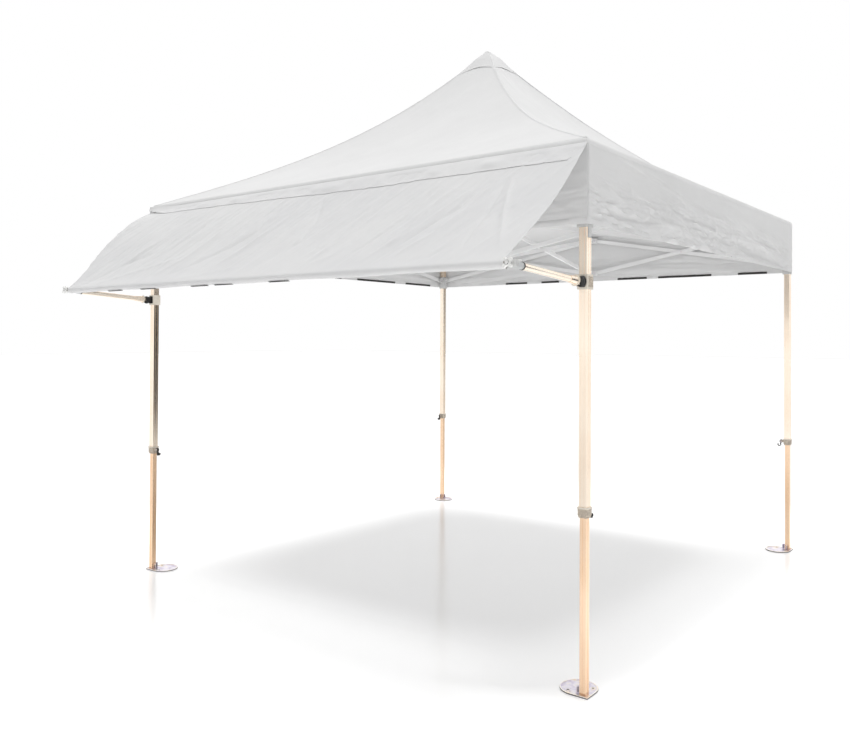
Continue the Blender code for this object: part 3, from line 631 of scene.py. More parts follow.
def hem_painted_shade():
    """Dark strips in lengths along the inside of the hem, on the back and left sides reaching just below it: painted
    shade for the hem's shadowed underside.
    """
    strips = []
    even = ((0.18, 0.52), (0.66, 1.12), (1.30, 1.80), (1.94, 2.36), (2.56, 2.86))
    back = ((0.165, 0.365), (0.555, 0.96), (1.05, 1.29), (1.81, 1.97), (2.11, 2.32))
    for side in range(4):
        for start, end in back if side == 2 else even:
            u = np.linspace(side * 3.0 + start, side * 3.0 + end, 40)
            below = -0.0035 if side < 2 else 0.0012
            v = np.linspace(VALANCE_DROP - 0.014, VALANCE_DROP + below, 3)
            uu, vv = np.meshgrid(u, v)
            points = valance_point(uu, vv, valance_folds(), -0.0034)
            flat = np.zeros((3, 41, 2))
            flat[:, :-1, 0], flat[..., 1] = u[None, :], v[:, None]
            strips.append(cloth_from("painted_shade_strip", points, flat, 0.0010))
    return joined("hem_painted_shade", strips)


def sleeve_painted_shade():
    """The same dark strips in lengths under the awning's sleeve: painted shade for the sleeve's shadowed underside."""
    bar, length, up, out = awning_axes()
    strips = []
    for start in (-1.06, -0.76, -0.34, -0.16, 0.22):
        x = np.linspace(start, start + 0.13, 16)
        rows = []
        for degrees in (196, 212, 228):
            angle = math.radians(degrees - 90)
            reach = AWNING_BAR_RADIUS + 0.0062
            forward = bar.x + reach * (out.x * math.cos(angle) - up.x * math.sin(angle))
            z = bar.y + reach * (out.y * math.cos(angle) - up.y * math.sin(angle)) - 0.001
            rows.append(np.stack([x, np.full_like(x, TENT_Y - forward), np.full_like(x, z)], axis=-1))
        flat = np.zeros((3, 17, 2))
        flat[:, :-1, 0] = x[None, :]
        strips.append(cloth_from("painted_shade_strip", np.array(rows), flat, 0.0010))
    return joined("sleeve_painted_shade", strips)


def band_seams():
    """The seam round the eaves and the welts down the band's four corners."""
    width = 2 * ROOF_HALF
    u = np.linspace(0, 4 * width, 900, endpoint=False)
    v = np.array([0.0165, 0.0175, 0.0210, 0.0245, 0.0255])
    uu, vv = np.meshgrid(u, v)
    stand = np.array([0.0, 0.0009, 0.0011, 0.0009, 0.0])[:, None]
    flat = np.zeros((len(v), len(u) + 1, 2))
    flat[..., 0] = np.append(u, 4 * width)[None, :]
    flat[..., 1] = v[:, None]
    strips = [cloth_from("eave_seam", valance_point(uu, vv, valance_folds(), stand), flat, 0.0007, closed=True)]
    down = np.linspace(0.020, VALANCE_DROP, 60)
    across = np.array([0.0030, 0.0042, 0.0070, 0.0098, 0.0110])
    for side in range(4):
        aa, dd = np.meshgrid(side * width + across, down)
        stand = np.array([0.0, 0.0008, 0.0010, 0.0008, 0.0])[None, :]
        flat = np.zeros((len(down), len(across) + 1, 2))
        flat[:, :-1, 0], flat[..., 1] = aa, down[:, None]
        strips.append(cloth_from("corner_welt", valance_point(aa, dd, valance_folds(), stand), flat, 0.0007))
    return joined("band_seams", strips)


# Fittings. Each is modelled once, at the tent's origin, on an arm's hinge or on a leg's centre


def pick_faces(obj, test):
    """Selects the faces of an object that pass a test, and leaves it in edit mode."""
    activate(obj)
    bpy.ops.object.mode_set(mode="EDIT")
    bpy.ops.mesh.select_mode(type="FACE")
    bpy.ops.mesh.select_all(action="DESELECT")
    mesh = bmesh.from_edit_mesh(obj.data)
    for face in mesh.faces:
        face.select_set(test(face))
    bmesh.update_edit_mesh(obj.data)


def facing(x, y, z, least=0.9):
    direction = Vector((x, y, z))
    return lambda face: face.normal.dot(direction) > least


def round_bar(radius, start, end, axis, vertices=24):
    """A cylinder added along an axis from one place to another."""
    start, end = Vector(start), Vector(end)
    turn = {"X": (0, QUARTER, 0), "Y": (QUARTER, 0, 0), "Z": (0, 0, 0)}[axis]
    deselect_all()
    bpy.ops.mesh.primitive_cylinder_add(
        vertices=vertices, radius=radius, depth=(end - start).length, location=(start + end) / 2, rotation=turn
    )
    made = bpy.context.active_object
    settle(made)
    return made


def block(low, high):
    """A cube added between two corners."""
    low, high = Vector(low), Vector(high)
    deselect_all()
    bpy.ops.mesh.primitive_cube_add(size=1, location=(low + high) / 2, scale=high - low)
    made = bpy.context.active_object
    settle(made)
    return made


def bevel_picked(offset, segments=2):
    bpy.ops.mesh.bevel(offset=offset, segments=segments, affect="EDGES")
    bpy.ops.object.mode_set(mode="OBJECT")


def inset_picked(thickness, depth):
    bpy.ops.mesh.inset(thickness=thickness, depth=depth, use_individual=True)


def pin_head(radius, height, axis="Y"):
    """A flat rivet head standing on a plane, its outer edge rounded and its middle dished."""
    end = {"X": (height, 0, 0), "Y": (0, -height, 0), "Z": (0, 0, height)}[axis]
    head = round_bar(radius, (0, 0, 0), end, axis, 12)
    outer = facing(*(c / height for c in end))
    pick_faces(head, outer)
    bevel_picked(height * 0.4, 1)
    pick_faces(head, outer)
    inset_picked(radius * 0.45, -height * 0.2)
    bpy.ops.object.mode_set(mode="OBJECT")
    return head


def truss_rivets():
    """The heads of the pins through the side trusses, outside and inside."""
    head = pin_head(0.0062, 0.0020)
    ends = [(side * x, z, 0.0166) for side in (-1, 1) for x in (1.431, 0.030) for z in (2.200, 1.945)]
    crossings = [(side * 0.7305, 2.0725, 0.0126) for side in (-1, 1)]
    made = []
    for turns in range(4):
        for x, z, reach in ends + crossings:
            for flip in (1, -1):
                place = Matrix.Translation((x, -LEG_CENTRE - flip * reach, z))
                if flip < 0:
                    place = place @ Matrix.Rotation(math.pi, 4, "Z")
                made.append(copied(head, quarter_turn(turns) @ place))
    bpy.data.objects.remove(head, do_unlink=True)
    return joined("truss_rivets", made)


def on_corners(obj, name):
    """Copies of a piece modelled on a leg's centre, one for every leg."""
    made = [
        copied(obj, quarter_turn(turns) @ Matrix.Translation((LEG_CENTRE, -LEG_CENTRE, 0))) for turns in range(4)
    ]
    bpy.data.objects.remove(obj, do_unlink=True)
    return joined(name, made)


def collar_lip():
    """A rim on top of a lock collar, a square ring with rounded corners. Its cream, lighter than the collar, is painted
    highlight where the top catches the light.
    """
    half = 0.0248
    ring = block((-half, -half, 0.7462), (half, half, 0.7534))
    pick_faces(ring, lambda face: abs(face.normal.z) < 0.1)
    mesh = bmesh.from_edit_mesh(ring.data)
    bpy.ops.mesh.select_mode(type="EDGE")
    for edge in mesh.edges:
        edge.select_set(abs(edge.verts[0].co.z - edge.verts[1].co.z) > 0.001)
    bmesh.update_edit_mesh(ring.data)
    bevel_picked(0.0058, 3)
    pick_faces(ring, lambda face: abs(face.normal.z) > 0.9)
    bevel_picked(0.0008, 1)
    pick_faces(ring, lambda face: abs(face.normal.z) > 0.9)
    inset_picked(0.0042, 0.0)
    bpy.ops.mesh.bridge_edge_loops()
    bpy.ops.object.mode_set(mode="OBJECT")
    return on_corners(ring, "collar_lips")


def lever_pins():
    """The heads of the pin that a lock lever turns on, on its two cheeks."""
    head = pin_head(0.0040, 0.0014, "X")
    made = []
    for side in (1, -1):
        place = Matrix.Translation((side * 0.0094, 0.0410, 0.7350))
        if side < 0:
            place = place @ Matrix.Rotation(math.pi, 4, "Z")
        made.append(copied(head, place))
    bpy.data.objects.remove(head, do_unlink=True)
    return on_corners(joined("lever_pin", made), "lever_pins")


def bracket_shields():
    """The raised U on the tongue of a sliding bracket, down the leg's outer face."""
    plate = block((0.0216, -0.0120, 1.8365), (0.0230, 0.0120, 1.8840))
    activate(plate)
    bpy.ops.object.mode_set(mode="EDIT")
    bpy.ops.mesh.select_mode(type="EDGE")
    bpy.ops.mesh.select_all(action="DESELECT")
    mesh = bmesh.from_edit_mesh(plate.data)
    for edge in mesh.edges:
        low = max(v.co.z for v in edge.verts) < 1.85
        edge.select_set(low and abs(edge.verts[0].co.x - edge.verts[1].co.x) > 0.001)
    bmesh.update_edit_mesh(plate.data)
    bevel_picked(0.0100, 5)
    pick_faces(plate, facing(1, 0, 0))
    bevel_picked(0.0005, 1)
    pick_faces(plate, facing(1, 0, 0))
    inset_picked(0.0032, -0.0009)
    bpy.ops.object.mode_set(mode="OBJECT")
    return on_corners(plate, "bracket_shields")


def arm_place(side):
    """The frame of an arm at its hinge, in which the arm runs along -Y."""
    rise = math.atan2(AWNING_BAR[1] - ARM_HINGE[1], AWNING_BAR[0] - ARM_HINGE[0])
    return Matrix.Translation((side * LEG_CENTRE, TENT_Y - ARM_HINGE[0], ARM_HINGE[1])) @ Matrix.Rotation(-rise, 4, "X")


def on_arms(obj, name):
    made = [copied(obj, arm_place(1)), copied(obj, arm_place(-1) @ Matrix.Scale(-1, 4, (1, 0, 0)))]
    bpy.data.objects.remove(obj, do_unlink=True)
    return joined(name, made)


def arm_plug():
    """The milky sleeve between an arm's tube and the star knob, ribbed at its ends."""
    sleeve = round_bar(0.0136, (0, -0.5140, 0), (0, -0.4380, 0), "Y", 32)
    pick_faces(sleeve, facing(0, -1, 0))
    inset_picked(0.0012, 0.0)
    bpy.ops.mesh.extrude_region_move(TRANSFORM_OT_translate={"value": (0, -0.0060, 0)})
    bpy.ops.object.mode_set(mode="OBJECT")
    pick_faces(sleeve, lambda face: abs(face.normal.y) > 0.9)
    bevel_picked(0.0008, 2)
    return on_arms(sleeve, "arm_plugs")


def star_knobs():
    """The four-winged white hand knobs at the arms' front ends, over the moulded stars."""
    back, front = -0.5092 - 0.0140, -0.5092 - 0.0266
    hub = round_bar(0.0098, (0, front - 0.0020, 0), (0, back, 0), "Y", 20)
    pick_faces(hub, facing(0, -1, 0))
    bevel_picked(0.0020, 2)
    pick_faces(hub, facing(0, -1, 0))
    inset_picked(0.0030, -0.0012)
    bpy.ops.object.mode_set(mode="OBJECT")
    wing = block((-0.0055, front, 0.0030), (0.0055, back, 0.0238))
    pick_faces(wing, facing(0, 0, 1))
    bevel_picked(0.0036, 3)
    pick_faces(wing, facing(0, -1, 0))
    inset_picked(0.0016, 0.0007)
    bpy.ops.object.mode_set(mode="OBJECT")
    wings = [copied(wing, Matrix.Rotation(math.radians(angle), 4, "Y")) for angle in (45, 135, 225, 315)]
    bpy.data.objects.remove(wing, do_unlink=True)
    return on_arms(joined("star_knob", [hub, *wings]), "star_knobs")


def lock_button():
    """The flat white button that stands on the sleeve's top on a short stem."""
    button = round_bar(0.0082, (0, -0.4560, 0.0175), (0, -0.4560, 0.0215), "Z")
    pick_faces(button, lambda face: abs(face.normal.z) > 0.9)
    bevel_picked(0.0009, 2)
    pick_faces(button, facing(0, 0, -1))
    inset_picked(0.0035, 0.0)
    bpy.ops.mesh.extrude_region_move(TRANSFORM_OT_translate={"value": (0, 0, -0.0052)})
    bpy.ops.object.mode_set(mode="OBJECT")
    return on_arms(button, "lock_buttons")


def arm_rings():
    """The light ring round the socket at an arm's hinge end."""
    ring = round_bar(0.0208, (0, -0.0420, 0), (0, -0.0325, 0), "Y", 32)
    pick_faces(ring, lambda face: abs(face.normal.y) > 0.9)
    bevel_picked(0.0014, 2)
    pick_faces(ring, facing(0, 1, 0))
    inset_picked(0.0050, -0.0020)
    bpy.ops.object.mode_set(mode="OBJECT")
    return on_arms(ring, "arm_rings")


def hinge_knobs():
    """The round hand knob on an arm's pivot, notched round its rim and dished."""
    knob = round_bar(0.0188, (0.0136, 0, 0), (0.0206, 0, 0), "X", 36)
    pick_faces(knob, facing(1, 0, 0))
    bevel_picked(0.0016, 2)
    rim = [face.index for face in knob.data.polygons if abs(face.normal.x) < 0.1]
    notched = set(rim[::3])
    pick_faces(knob, lambda face: face.index in notched)
    inset_picked(0.0003, -0.0022)
    bpy.ops.object.mode_set(mode="OBJECT")
    pick_faces(knob, facing(1, 0, 0))
    inset_picked(0.0060, -0.0016)
    inset_picked(0.0030, 0.0022)
    bpy.ops.object.mode_set(mode="OBJECT")
    return on_arms(knob, "hinge_knobs")


def tube_ends():
    """The dark end trim of an arm's tube, against the milky sleeve."""
    ring = round_bar(0.0148, (0, -0.4380, 0), (0, -0.4315, 0), "Y", 32)
    pick_faces(ring, lambda face: abs(face.normal.y) > 0.9)
    bevel_picked(0.0006, 2)
    pick_faces(ring, facing(0, -1, 0))
    inset_picked(0.0010, -0.0008)
    bpy.ops.object.mode_set(mode="OBJECT")
    return on_arms(ring, "tube_ends")


def foot_band(corner, rise, thickness, name):
    """A band round a foot plate's edge, from the ground to a rise above the plate."""
    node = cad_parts["foot_plate_" + corner]
    centre = node_middle(node)
    band = bpy.data.objects.new(name, node.data.copy())
    band.data.transform(node.matrix_world)
    bpy.context.scene.collection.objects.link(band)
    activate(band)
    bpy.ops.object.mode_set(mode="EDIT")
    bpy.ops.mesh.select_all(action="SELECT")
    bpy.ops.mesh.remove_doubles(threshold=0.00005)
    bpy.ops.object.mode_set(mode="OBJECT")

    def inner(face):
        away = face.calc_center_median() - centre
        edge = abs(face.normal.z) < 0.3 and max(v.co.z for v in face.verts) < 0.0045
        return not (edge and max(abs(away.x), abs(away.y)) > 0.045 and away.xy.length > 0.048)

    pick_faces(band, inner)
    bpy.ops.mesh.delete(type="FACE")
    bpy.ops.object.mode_set(mode="OBJECT")
    for vert in band.data.vertices:
        if vert.co.z > 0.002:
            vert.co.z += rise
        else:
            vert.co.z += 0.0002
    wall = band.modifiers.new("wall", "SOLIDIFY")
    wall.thickness = thickness
    wall.offset = 1.0 if rise == 0 else -1.0
    apply_modifiers(band)
    return band


def node_middle(node):
    places = [node.matrix_world @ vert.co for vert in node.data.vertices]
    low = Vector(min(p[i] for p in places) for i in range(3))
    high = Vector(max(p[i] for p in places) for i in range(3))
    return (low + high) / 2


def upstand_slots(turns):
    """Black blocks set into a foot's two upstands where their slots are: painted shade for the slots' dark insides."""
    slots = []
    for turn in (0, -QUARTER):
        slot = block((-0.0285, -0.0019, 0.0080), (-0.0245, 0.0019, 0.0300))
        pick_faces(slot, facing(0, 0, 1))
        bevel_picked(0.0015, 2)
        pick_faces(slot, lambda face: abs(face.normal.y) > 0.9)
        inset_picked(0.0006, -0.0003)
        bpy.ops.object.mode_set(mode="OBJECT")
        place = quarter_turn(turns) @ Matrix.Translation((LEG_CENTRE, -LEG_CENTRE, 0))
        slot.data.transform(place @ Matrix.Rotation(turn, 4, "Z"))
        slots.append(slot)
    return joined("upstand_slots_" + CORNERS[turns], slots)


def clamp_plates():
    """The plate on a leg clamp's outer face, a raised square edge round a sunk middle."""
    low_z, high_z = ARM_HINGE[1] - 0.0215, ARM_HINGE[1] + 0.0215
    plate = block((LEG_CENTRE + 0.0250, -0.0190, low_z), (LEG_CENTRE + 0.0268, 0.0190, high_z))
    pick_faces(plate, facing(1, 0, 0))
    bevel_picked(0.0007, 2)
    pick_faces(plate, facing(1, 0, 0))
    inset_picked(0.0040, -0.0012)
    inset_picked(0.0050, 0.0)
    inset_picked(0.0030, 0.0008)
    bpy.ops.object.mode_set(mode="OBJECT")
    plate.data.transform(Matrix.Translation((0, TENT_Y - LEG_CENTRE, 0)))
    other = copied(plate, Matrix.Scale(-1, 4, (1, 0, 0)))
    return joined("clamp_plates", [plate, other])


# Materials


def coated_cloth(name, base, shade, gloss, lean, stretch, depth):
    """Polyester woven of 0.5 mm threads and coated with polyurethane: matt, faintly milky, finely creased.

    The creases lie at an angle on the flat cloth, and stretch gives their scales across and along.
    """
    made, tree, shader = new_material(
        name, base, gloss, IOR=1.49, Sheen_Weight=0.10, Sheen_Roughness=0.5, Specular_IOR_Level=0.3
    )
    flat = add_node(tree, "ShaderNodeUVMap", {"uv_map": "cloth"}).outputs["UV"]
    broad = add_node(tree, "ShaderNodeTexNoise", {"Scale": 1.7, "Detail": 4.0, "Roughness": 0.6}, {"Vector": flat})
    tint = colour_ramp(tree, broad.outputs["Fac"], [(0.30, shade), (0.62, base)])
    tree.links.new(tint, shader.inputs["Base Color"])
    # Threads are 0.5 mm apart and are drawn 4 mm apart, the finest that shows at this distance
    threads = []
    for direction in ("X", "Y"):
        settings = {"wave_type": "BANDS", "bands_direction": direction, "Scale": 78.0, "Distortion": 0.0}
        threads.append(add_node(tree, "ShaderNodeTexWave", settings, {"Vector": flat}).outputs["Fac"])
    weave = add_node(tree, "ShaderNodeMath", {"operation": "MAXIMUM"}, {0: threads[0], 1: threads[1]})
    settings = {"Rotation": (0.0, 0.0, math.radians(lean)), "Scale": (*stretch, 1.0)}
    leaning = add_node(tree, "ShaderNodeMapping", settings, {"Vector": flat}).outputs["Vector"]
    # Creases 60 to 200 mm apart, crisp where the folded cover was pressed in its bag
    settings = {"noise_type": "RIDGED_MULTIFRACTAL", "Scale": 1.0, "Detail": 5.0, "Roughness": 0.45, "Distortion": 0.6}
    creases = add_node(tree, "ShaderNodeTexNoise", settings, {"Vector": leaning})
    soft = add_node(
        tree, "ShaderNodeBump", {"Strength": 1.0, "Distance": depth}, {"Height": creases.outputs["Fac"]}
    )
    fine = add_node(
        tree,
        "ShaderNodeBump",
        {"Strength": 0.12, "Distance": 0.0004},
        {"Height": weave.outputs[0], "Normal": soft.outputs["Normal"]},
    )
    tree.links.new(fine.outputs["Normal"], shader.inputs["Normal"])
    return made


def extruded_aluminium(name, base, shade, roughness, metallic=1.0):
    """Extruded and anodised aluminium: satin, warm, with fine die lines along the length."""
    made, tree, shader = new_material(name, base, roughness, metallic)
    place = add_node(tree, "ShaderNodeTexCoord").outputs["Object"]
    stretched = add_node(tree, "ShaderNodeMapping", {"Scale": (260.0, 260.0, 2.0)}, {"Vector": place})
    lines = add_node(tree, "ShaderNodeTexNoise", {"Scale": 1.0, "Detail": 3.0}, {"Vector": stretched.outputs["Vector"]})
    cloud = add_node(tree, "ShaderNodeTexNoise", {"Scale": 3.0, "Detail": 2.0}, {"Vector": place})
    tint = colour_ramp(tree, cloud.outputs["Fac"], [(0.35, shade), (0.65, base)])
    tree.links.new(tint, shader.inputs["Base Color"])
    spread = add_node(
        tree,
        "ShaderNodeMapRange",
        {"To Min": roughness - 0.06, "To Max": roughness + 0.08},
        {"Value": lines.outputs["Fac"]},
    )
    tree.links.new(spread.outputs["Result"], shader.inputs["Roughness"])
    bump = add_node(
        tree, "ShaderNodeBump", {"Strength": 0.15, "Distance": 0.0002}, {"Height": lines.outputs["Fac"]}
    )
    tree.links.new(bump.outputs["Normal"], shader.inputs["Normal"])
    return made


def moulded_nylon(name, base, shade, roughness, fleck=0.0, **shader_values):
    """Glass-filled nylon from a mould: matt, finely grained, with cloudy flow marks."""
    made, tree, shader = new_material(name, base, roughness, IOR=1.53, **shader_values)
    place = add_node(tree, "ShaderNodeTexCoord").outputs["Object"]
    cloud = add_node(tree, "ShaderNodeTexNoise", {"Scale": 180.0, "Detail": 3.0, "Roughness": 0.6}, {"Vector": place})
    tint = colour_ramp(tree, cloud.outputs["Fac"], [(0.5 - 0.2 * (1 - fleck), shade), (0.62, base)])
    tree.links.new(tint, shader.inputs["Base Color"])
    grain = add_node(tree, "ShaderNodeTexNoise", {"Scale": 900.0, "Detail": 2.0}, {"Vector": place})
    bump = add_node(
        tree, "ShaderNodeBump", {"Strength": 0.25, "Distance": 0.0003}, {"Height": grain.outputs["Fac"]}
    )
    tree.links.new(bump.outputs["Normal"], shader.inputs["Normal"])
    return made


def zinc_plate(name, violet, middle, straw):
    """Pressed steel with bright zinc plate: mirror-like patches with a faint violet and straw bloom."""
    made, tree, shader = new_material(name, middle, 0.28, 1.0)
    place = add_node(tree, "ShaderNodeTexCoord").outputs["Object"]
    bloom = add_node(tree, "ShaderNodeTexNoise", {"Scale": 26.0, "Detail": 3.0, "Distortion": 0.4}, {"Vector": place})
    tint = colour_ramp(tree, bloom.outputs["Fac"], [(0.34, violet), (0.52, middle), (0.70, straw)])
    tree.links.new(tint, shader.inputs["Base Color"])
    rough = add_node(
        tree, "ShaderNodeMapRange", {"To Min": 0.24, "To Max": 0.42}, {"Value": bloom.outputs["Fac"]}
    )
    tree.links.new(rough.outputs["Result"], shader.inputs["Roughness"])
    return made


materials = {}


def repaint_nodes():
    """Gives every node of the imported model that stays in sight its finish."""
    finishes = {
        "upper_leg": "champagne",
        "lower_leg": "champagne_pale",
        "lock_collar": "beige_nylon",
        "lock_lever": "black_nylon",
        "foot_plate": "zinc",
        "top_bracket": "grey_nylon",
        "slider_bracket": "grey_nylon",
        "side_truss": "silver",
        "centre_truss": "silver",
        "centre_mast": "silver",
        "mast_hub": "grey_nylon",
        "awning_bar": "champagne",
        "awning_arm": "champagne",
        "bar_elbow": "grey_nylon",
        "leg_clamp": "cream_nylon",
        "hinge_knuckle": "black_nylon",
    }
    for name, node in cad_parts.items():
        for start, finish in finishes.items():
            if name.startswith(start):
                node.data.materials.clear()
                node.data.materials.append(materials[finish])


# Settings


class MarqueeCoverSettings(bpy.types.PropertyGroup):
    cloth_thickness: bpy.props.FloatProperty(
        name="Cloth thickness", description="Thickness of the cover's cloth", default=0.0012, unit="LENGTH"
    )
    roof_colour: bpy.props.StringProperty(
        name="Roof colour", description="sRGB hex colour of the roof's cloth", default="E3E3E3"
    )
    # Painted shade: the awning's cloth is the roof's cloth, and its darker default colour stands for the lower light on
    # the awning
    awning_colour: bpy.props.StringProperty(
        name="Awning colour", description="sRGB hex colour of the awning's cloth", default="DEDEDE"
    )


class MarqueeStageSettings(bpy.types.PropertyGroup):
    floor_colour: bpy.props.StringProperty(
        name="Floor colour", description="sRGB hex colour of the floor", default="F7F7F7"
    )
    fill_power: bpy.props.FloatProperty(
        name="Fill power", description="Power in watts of the soft light from the floor", default=5.0
    )
    floor_glow: bpy.props.FloatProperty(
        name="Floor glow", description="Light that the floor itself gives, as a lit table does", default=0.055
    )
    sky_strength: bpy.props.FloatProperty(
        name="Sky strength", description="Strength of the even light from all round", default=0.62
    )
    sun_strength: bpy.props.FloatProperty(
        name="Sun strength", description="Strength of the soft light from above", default=1.56
    )


# Operators


class MARQUEE_OT_materials(bpy.types.Operator):
    """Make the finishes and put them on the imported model"""

    bl_idname = "marquee.materials"
    bl_label = "Finishes"

    def execute(self, context):
        cover = context.scene.marquee_cover
        materials["roof_cloth"] = coated_cloth(
            "coated_polyester_roof", cover.roof_colour, "DEDEDE", 0.62, 0, (5.0, 1.2), 0.004
        )
        materials["band_cloth"] = coated_cloth(
            "coated_polyester_band", "DEDEDE", "D9D9D9", 0.62, 8, (2.6, 17.0), 0.005
        )
        # Painted shade: the awning gets a darker copy of the roof's cloth, standing for the lower light on it
        materials["awning_cloth"] = coated_cloth(
            "coated_polyester_awning", cover.awning_colour, "D8D8D9", 0.58, 24, (9.5, 1.5), 0.0050
        )
        materials["champagne"] = extruded_aluminium("champagne_anodised_aluminium", "FAEDDD", "F4E3D0", 0.16)
        materials["champagne_pale"] = extruded_aluminium("pale_anodised_aluminium", "F5D7BA", "EECBA9", 0.22)
        materials["silver"] = extruded_aluminium("silver_anodised_aluminium", "F2F2F2", "E8E8E8", 0.45, 0.25)
        materials["zinc"] = zinc_plate("zinc_plated_steel", "C6BCCF", "E6E1EA", "F2E8DC")
        # Painted highlight: a lighter copy of the zinc for the raised rim of a foot plate, where the rim catches the
        # light
        materials["rim_zinc"] = zinc_plate("zinc_rim_painted_highlight", "F2ECF2", "FBF6EF", "FAEBD6")
        # Painted shade: a dark metal for a foot plate's outer edge, standing for the shadow on that edge
        materials["sheared_steel"] = extruded_aluminium("plate_edge_painted_shade", "6A6664", "4A4745", 0.5, 0.7)
        materials["beige_nylon"] = moulded_nylon("beige_glass_filled_nylon", "DDD1C1", "AFA292", 0.55, 0.8)
        materials["grey_nylon"] = moulded_nylon("light_grey_nylon", "CFCFCE", "C2C2C1", 0.5)
        materials["white_nylon"] = moulded_nylon("white_nylon", "F6F6F4", "ECECEA", 0.42)
        materials["cream_nylon"] = moulded_nylon("cream_nylon", "EFE7DA", "E2D8C8", 0.5)
        materials["cloudy_nylon"] = moulded_nylon("unfilled_milky_nylon", "D6D8D8", "C6CACA", 0.3, Transmission_Weight=0.25)
        # Painted shade: a dark material for strips that stand for the shadowed undersides of the hems and the sleeve
        materials["painted_shade_strip"] = moulded_nylon("dark_strip_painted_shade", "3A3837", "2A2828", 0.85)
        materials["black_nylon"] = moulded_nylon("black_nylon", "1E1C1C", "121111", 0.42)
        repaint_nodes()
        return {"FINISHED"}


class MARQUEE_OT_roof(bpy.types.Operator):
    """Stretch the roof's cloth over the frame"""

    bl_idname = "marquee.roof"
    bl_label = "Roof"

    def execute(self, context):
        cover = roof_cover()
        finish_piece(cover, materials["roof_cloth"], TENT, 60)
        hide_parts(*("roof_panel_" + side for side in SIDES))
        patch = finish_piece(peak_patch(), materials["roof_cloth"], TENT, 60)
        seams = finish_piece(hip_seams(), materials["roof_cloth"], TENT, 60)
        return {"FINISHED"}


class MARQUEE_OT_valance(bpy.types.Operator):
    """Hang the valance round the eaves"""

    bl_idname = "marquee.valance"
    bl_label = "Valance"

    def execute(self, context):
        band = valance_cover()
        finish_piece(band, materials["band_cloth"], TENT, 60)
        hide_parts(*("valance_" + side for side in SIDES))
        hem = finish_piece(valance_hem(), materials["band_cloth"], TENT, 60)
        painted_shade_strip = finish_piece(hem_painted_shade(), materials["painted_shade_strip"], TENT, 60)
        seams = finish_piece(band_seams(), materials["band_cloth"], TENT, 60)
        return {"FINISHED"}


class MARQUEE_OT_awning(bpy.types.Operator):
    """Hang the awning from the front eave to its bar"""

    bl_idname = "marquee.awning"
    bl_label = "Awning"

    def execute(self, context):
        sheet = awning_cloth()
        finish_piece(sheet, materials["awning_cloth"], None, 60)
        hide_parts("awning_sheet")
        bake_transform(sheet)
        painted_shade_strip = finish_piece(sleeve_painted_shade(), materials["painted_shade_strip"], "awning_frame", 60)
        hems = finish_piece(awning_hems(), materials["awning_cloth"], None, 60)
        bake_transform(hems)
        flap = eave_flap()
        finish_piece(flap, materials["awning_cloth"], TENT, 60)
        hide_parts("awning_flap")
        return {"FINISHED"}


class MARQUEE_OT_fittings(bpy.types.Operator):
    """Put the small fittings on the legs, the trusses and the awning's arms"""

    bl_idname = "marquee.fittings"
    bl_label = "Fittings"

    def execute(self, context):
        arms = "awning_frame"
        finish_piece(truss_rivets(), materials["zinc"], TENT)
        finish_piece(lever_pins(), materials["zinc"], TENT)
        # Painted highlight: the collar's top rim is cream, lighter than the collar, where it catches the light
        finish_piece(collar_lip(), materials["cream_nylon"], TENT)
        finish_piece(bracket_shields(), materials["grey_nylon"], TENT)
        finish_piece(clamp_plates(), materials["beige_nylon"], TENT)
        finish_piece(hinge_knobs(), materials["black_nylon"], TENT)
        finish_piece(arm_rings(), materials["cream_nylon"], arms)
        finish_piece(tube_ends(), materials["black_nylon"], arms)
        for turns, corner in enumerate(CORNERS):
            body = "lower_leg_" + corner
            # Painted highlight: the raised rim gets the lighter copy of the zinc, where it catches the light
            rim = foot_band(corner, 0.0028, 0.0038, "foot_rim_" + corner)
            finish_piece(rim, materials["rim_zinc"], body)
            # Painted shade: a thin dark band round the plate's outer edge stands for the shadow on that edge
            edge = foot_band(corner, 0.0, 0.0004, "foot_edge_painted_shade_" + corner)
            finish_piece(edge, materials["sheared_steel"], body)
            # Painted shade: black blocks stand for the dark insides of the upstands' slots
            finish_piece(upstand_slots(turns), materials["black_nylon"], body)
        finish_piece(arm_plug(), materials["cloudy_nylon"], arms)
        finish_piece(lock_button(), materials["white_nylon"], arms)
        finish_piece(star_knobs(), materials["white_nylon"], arms)
        return {"FINISHED"}


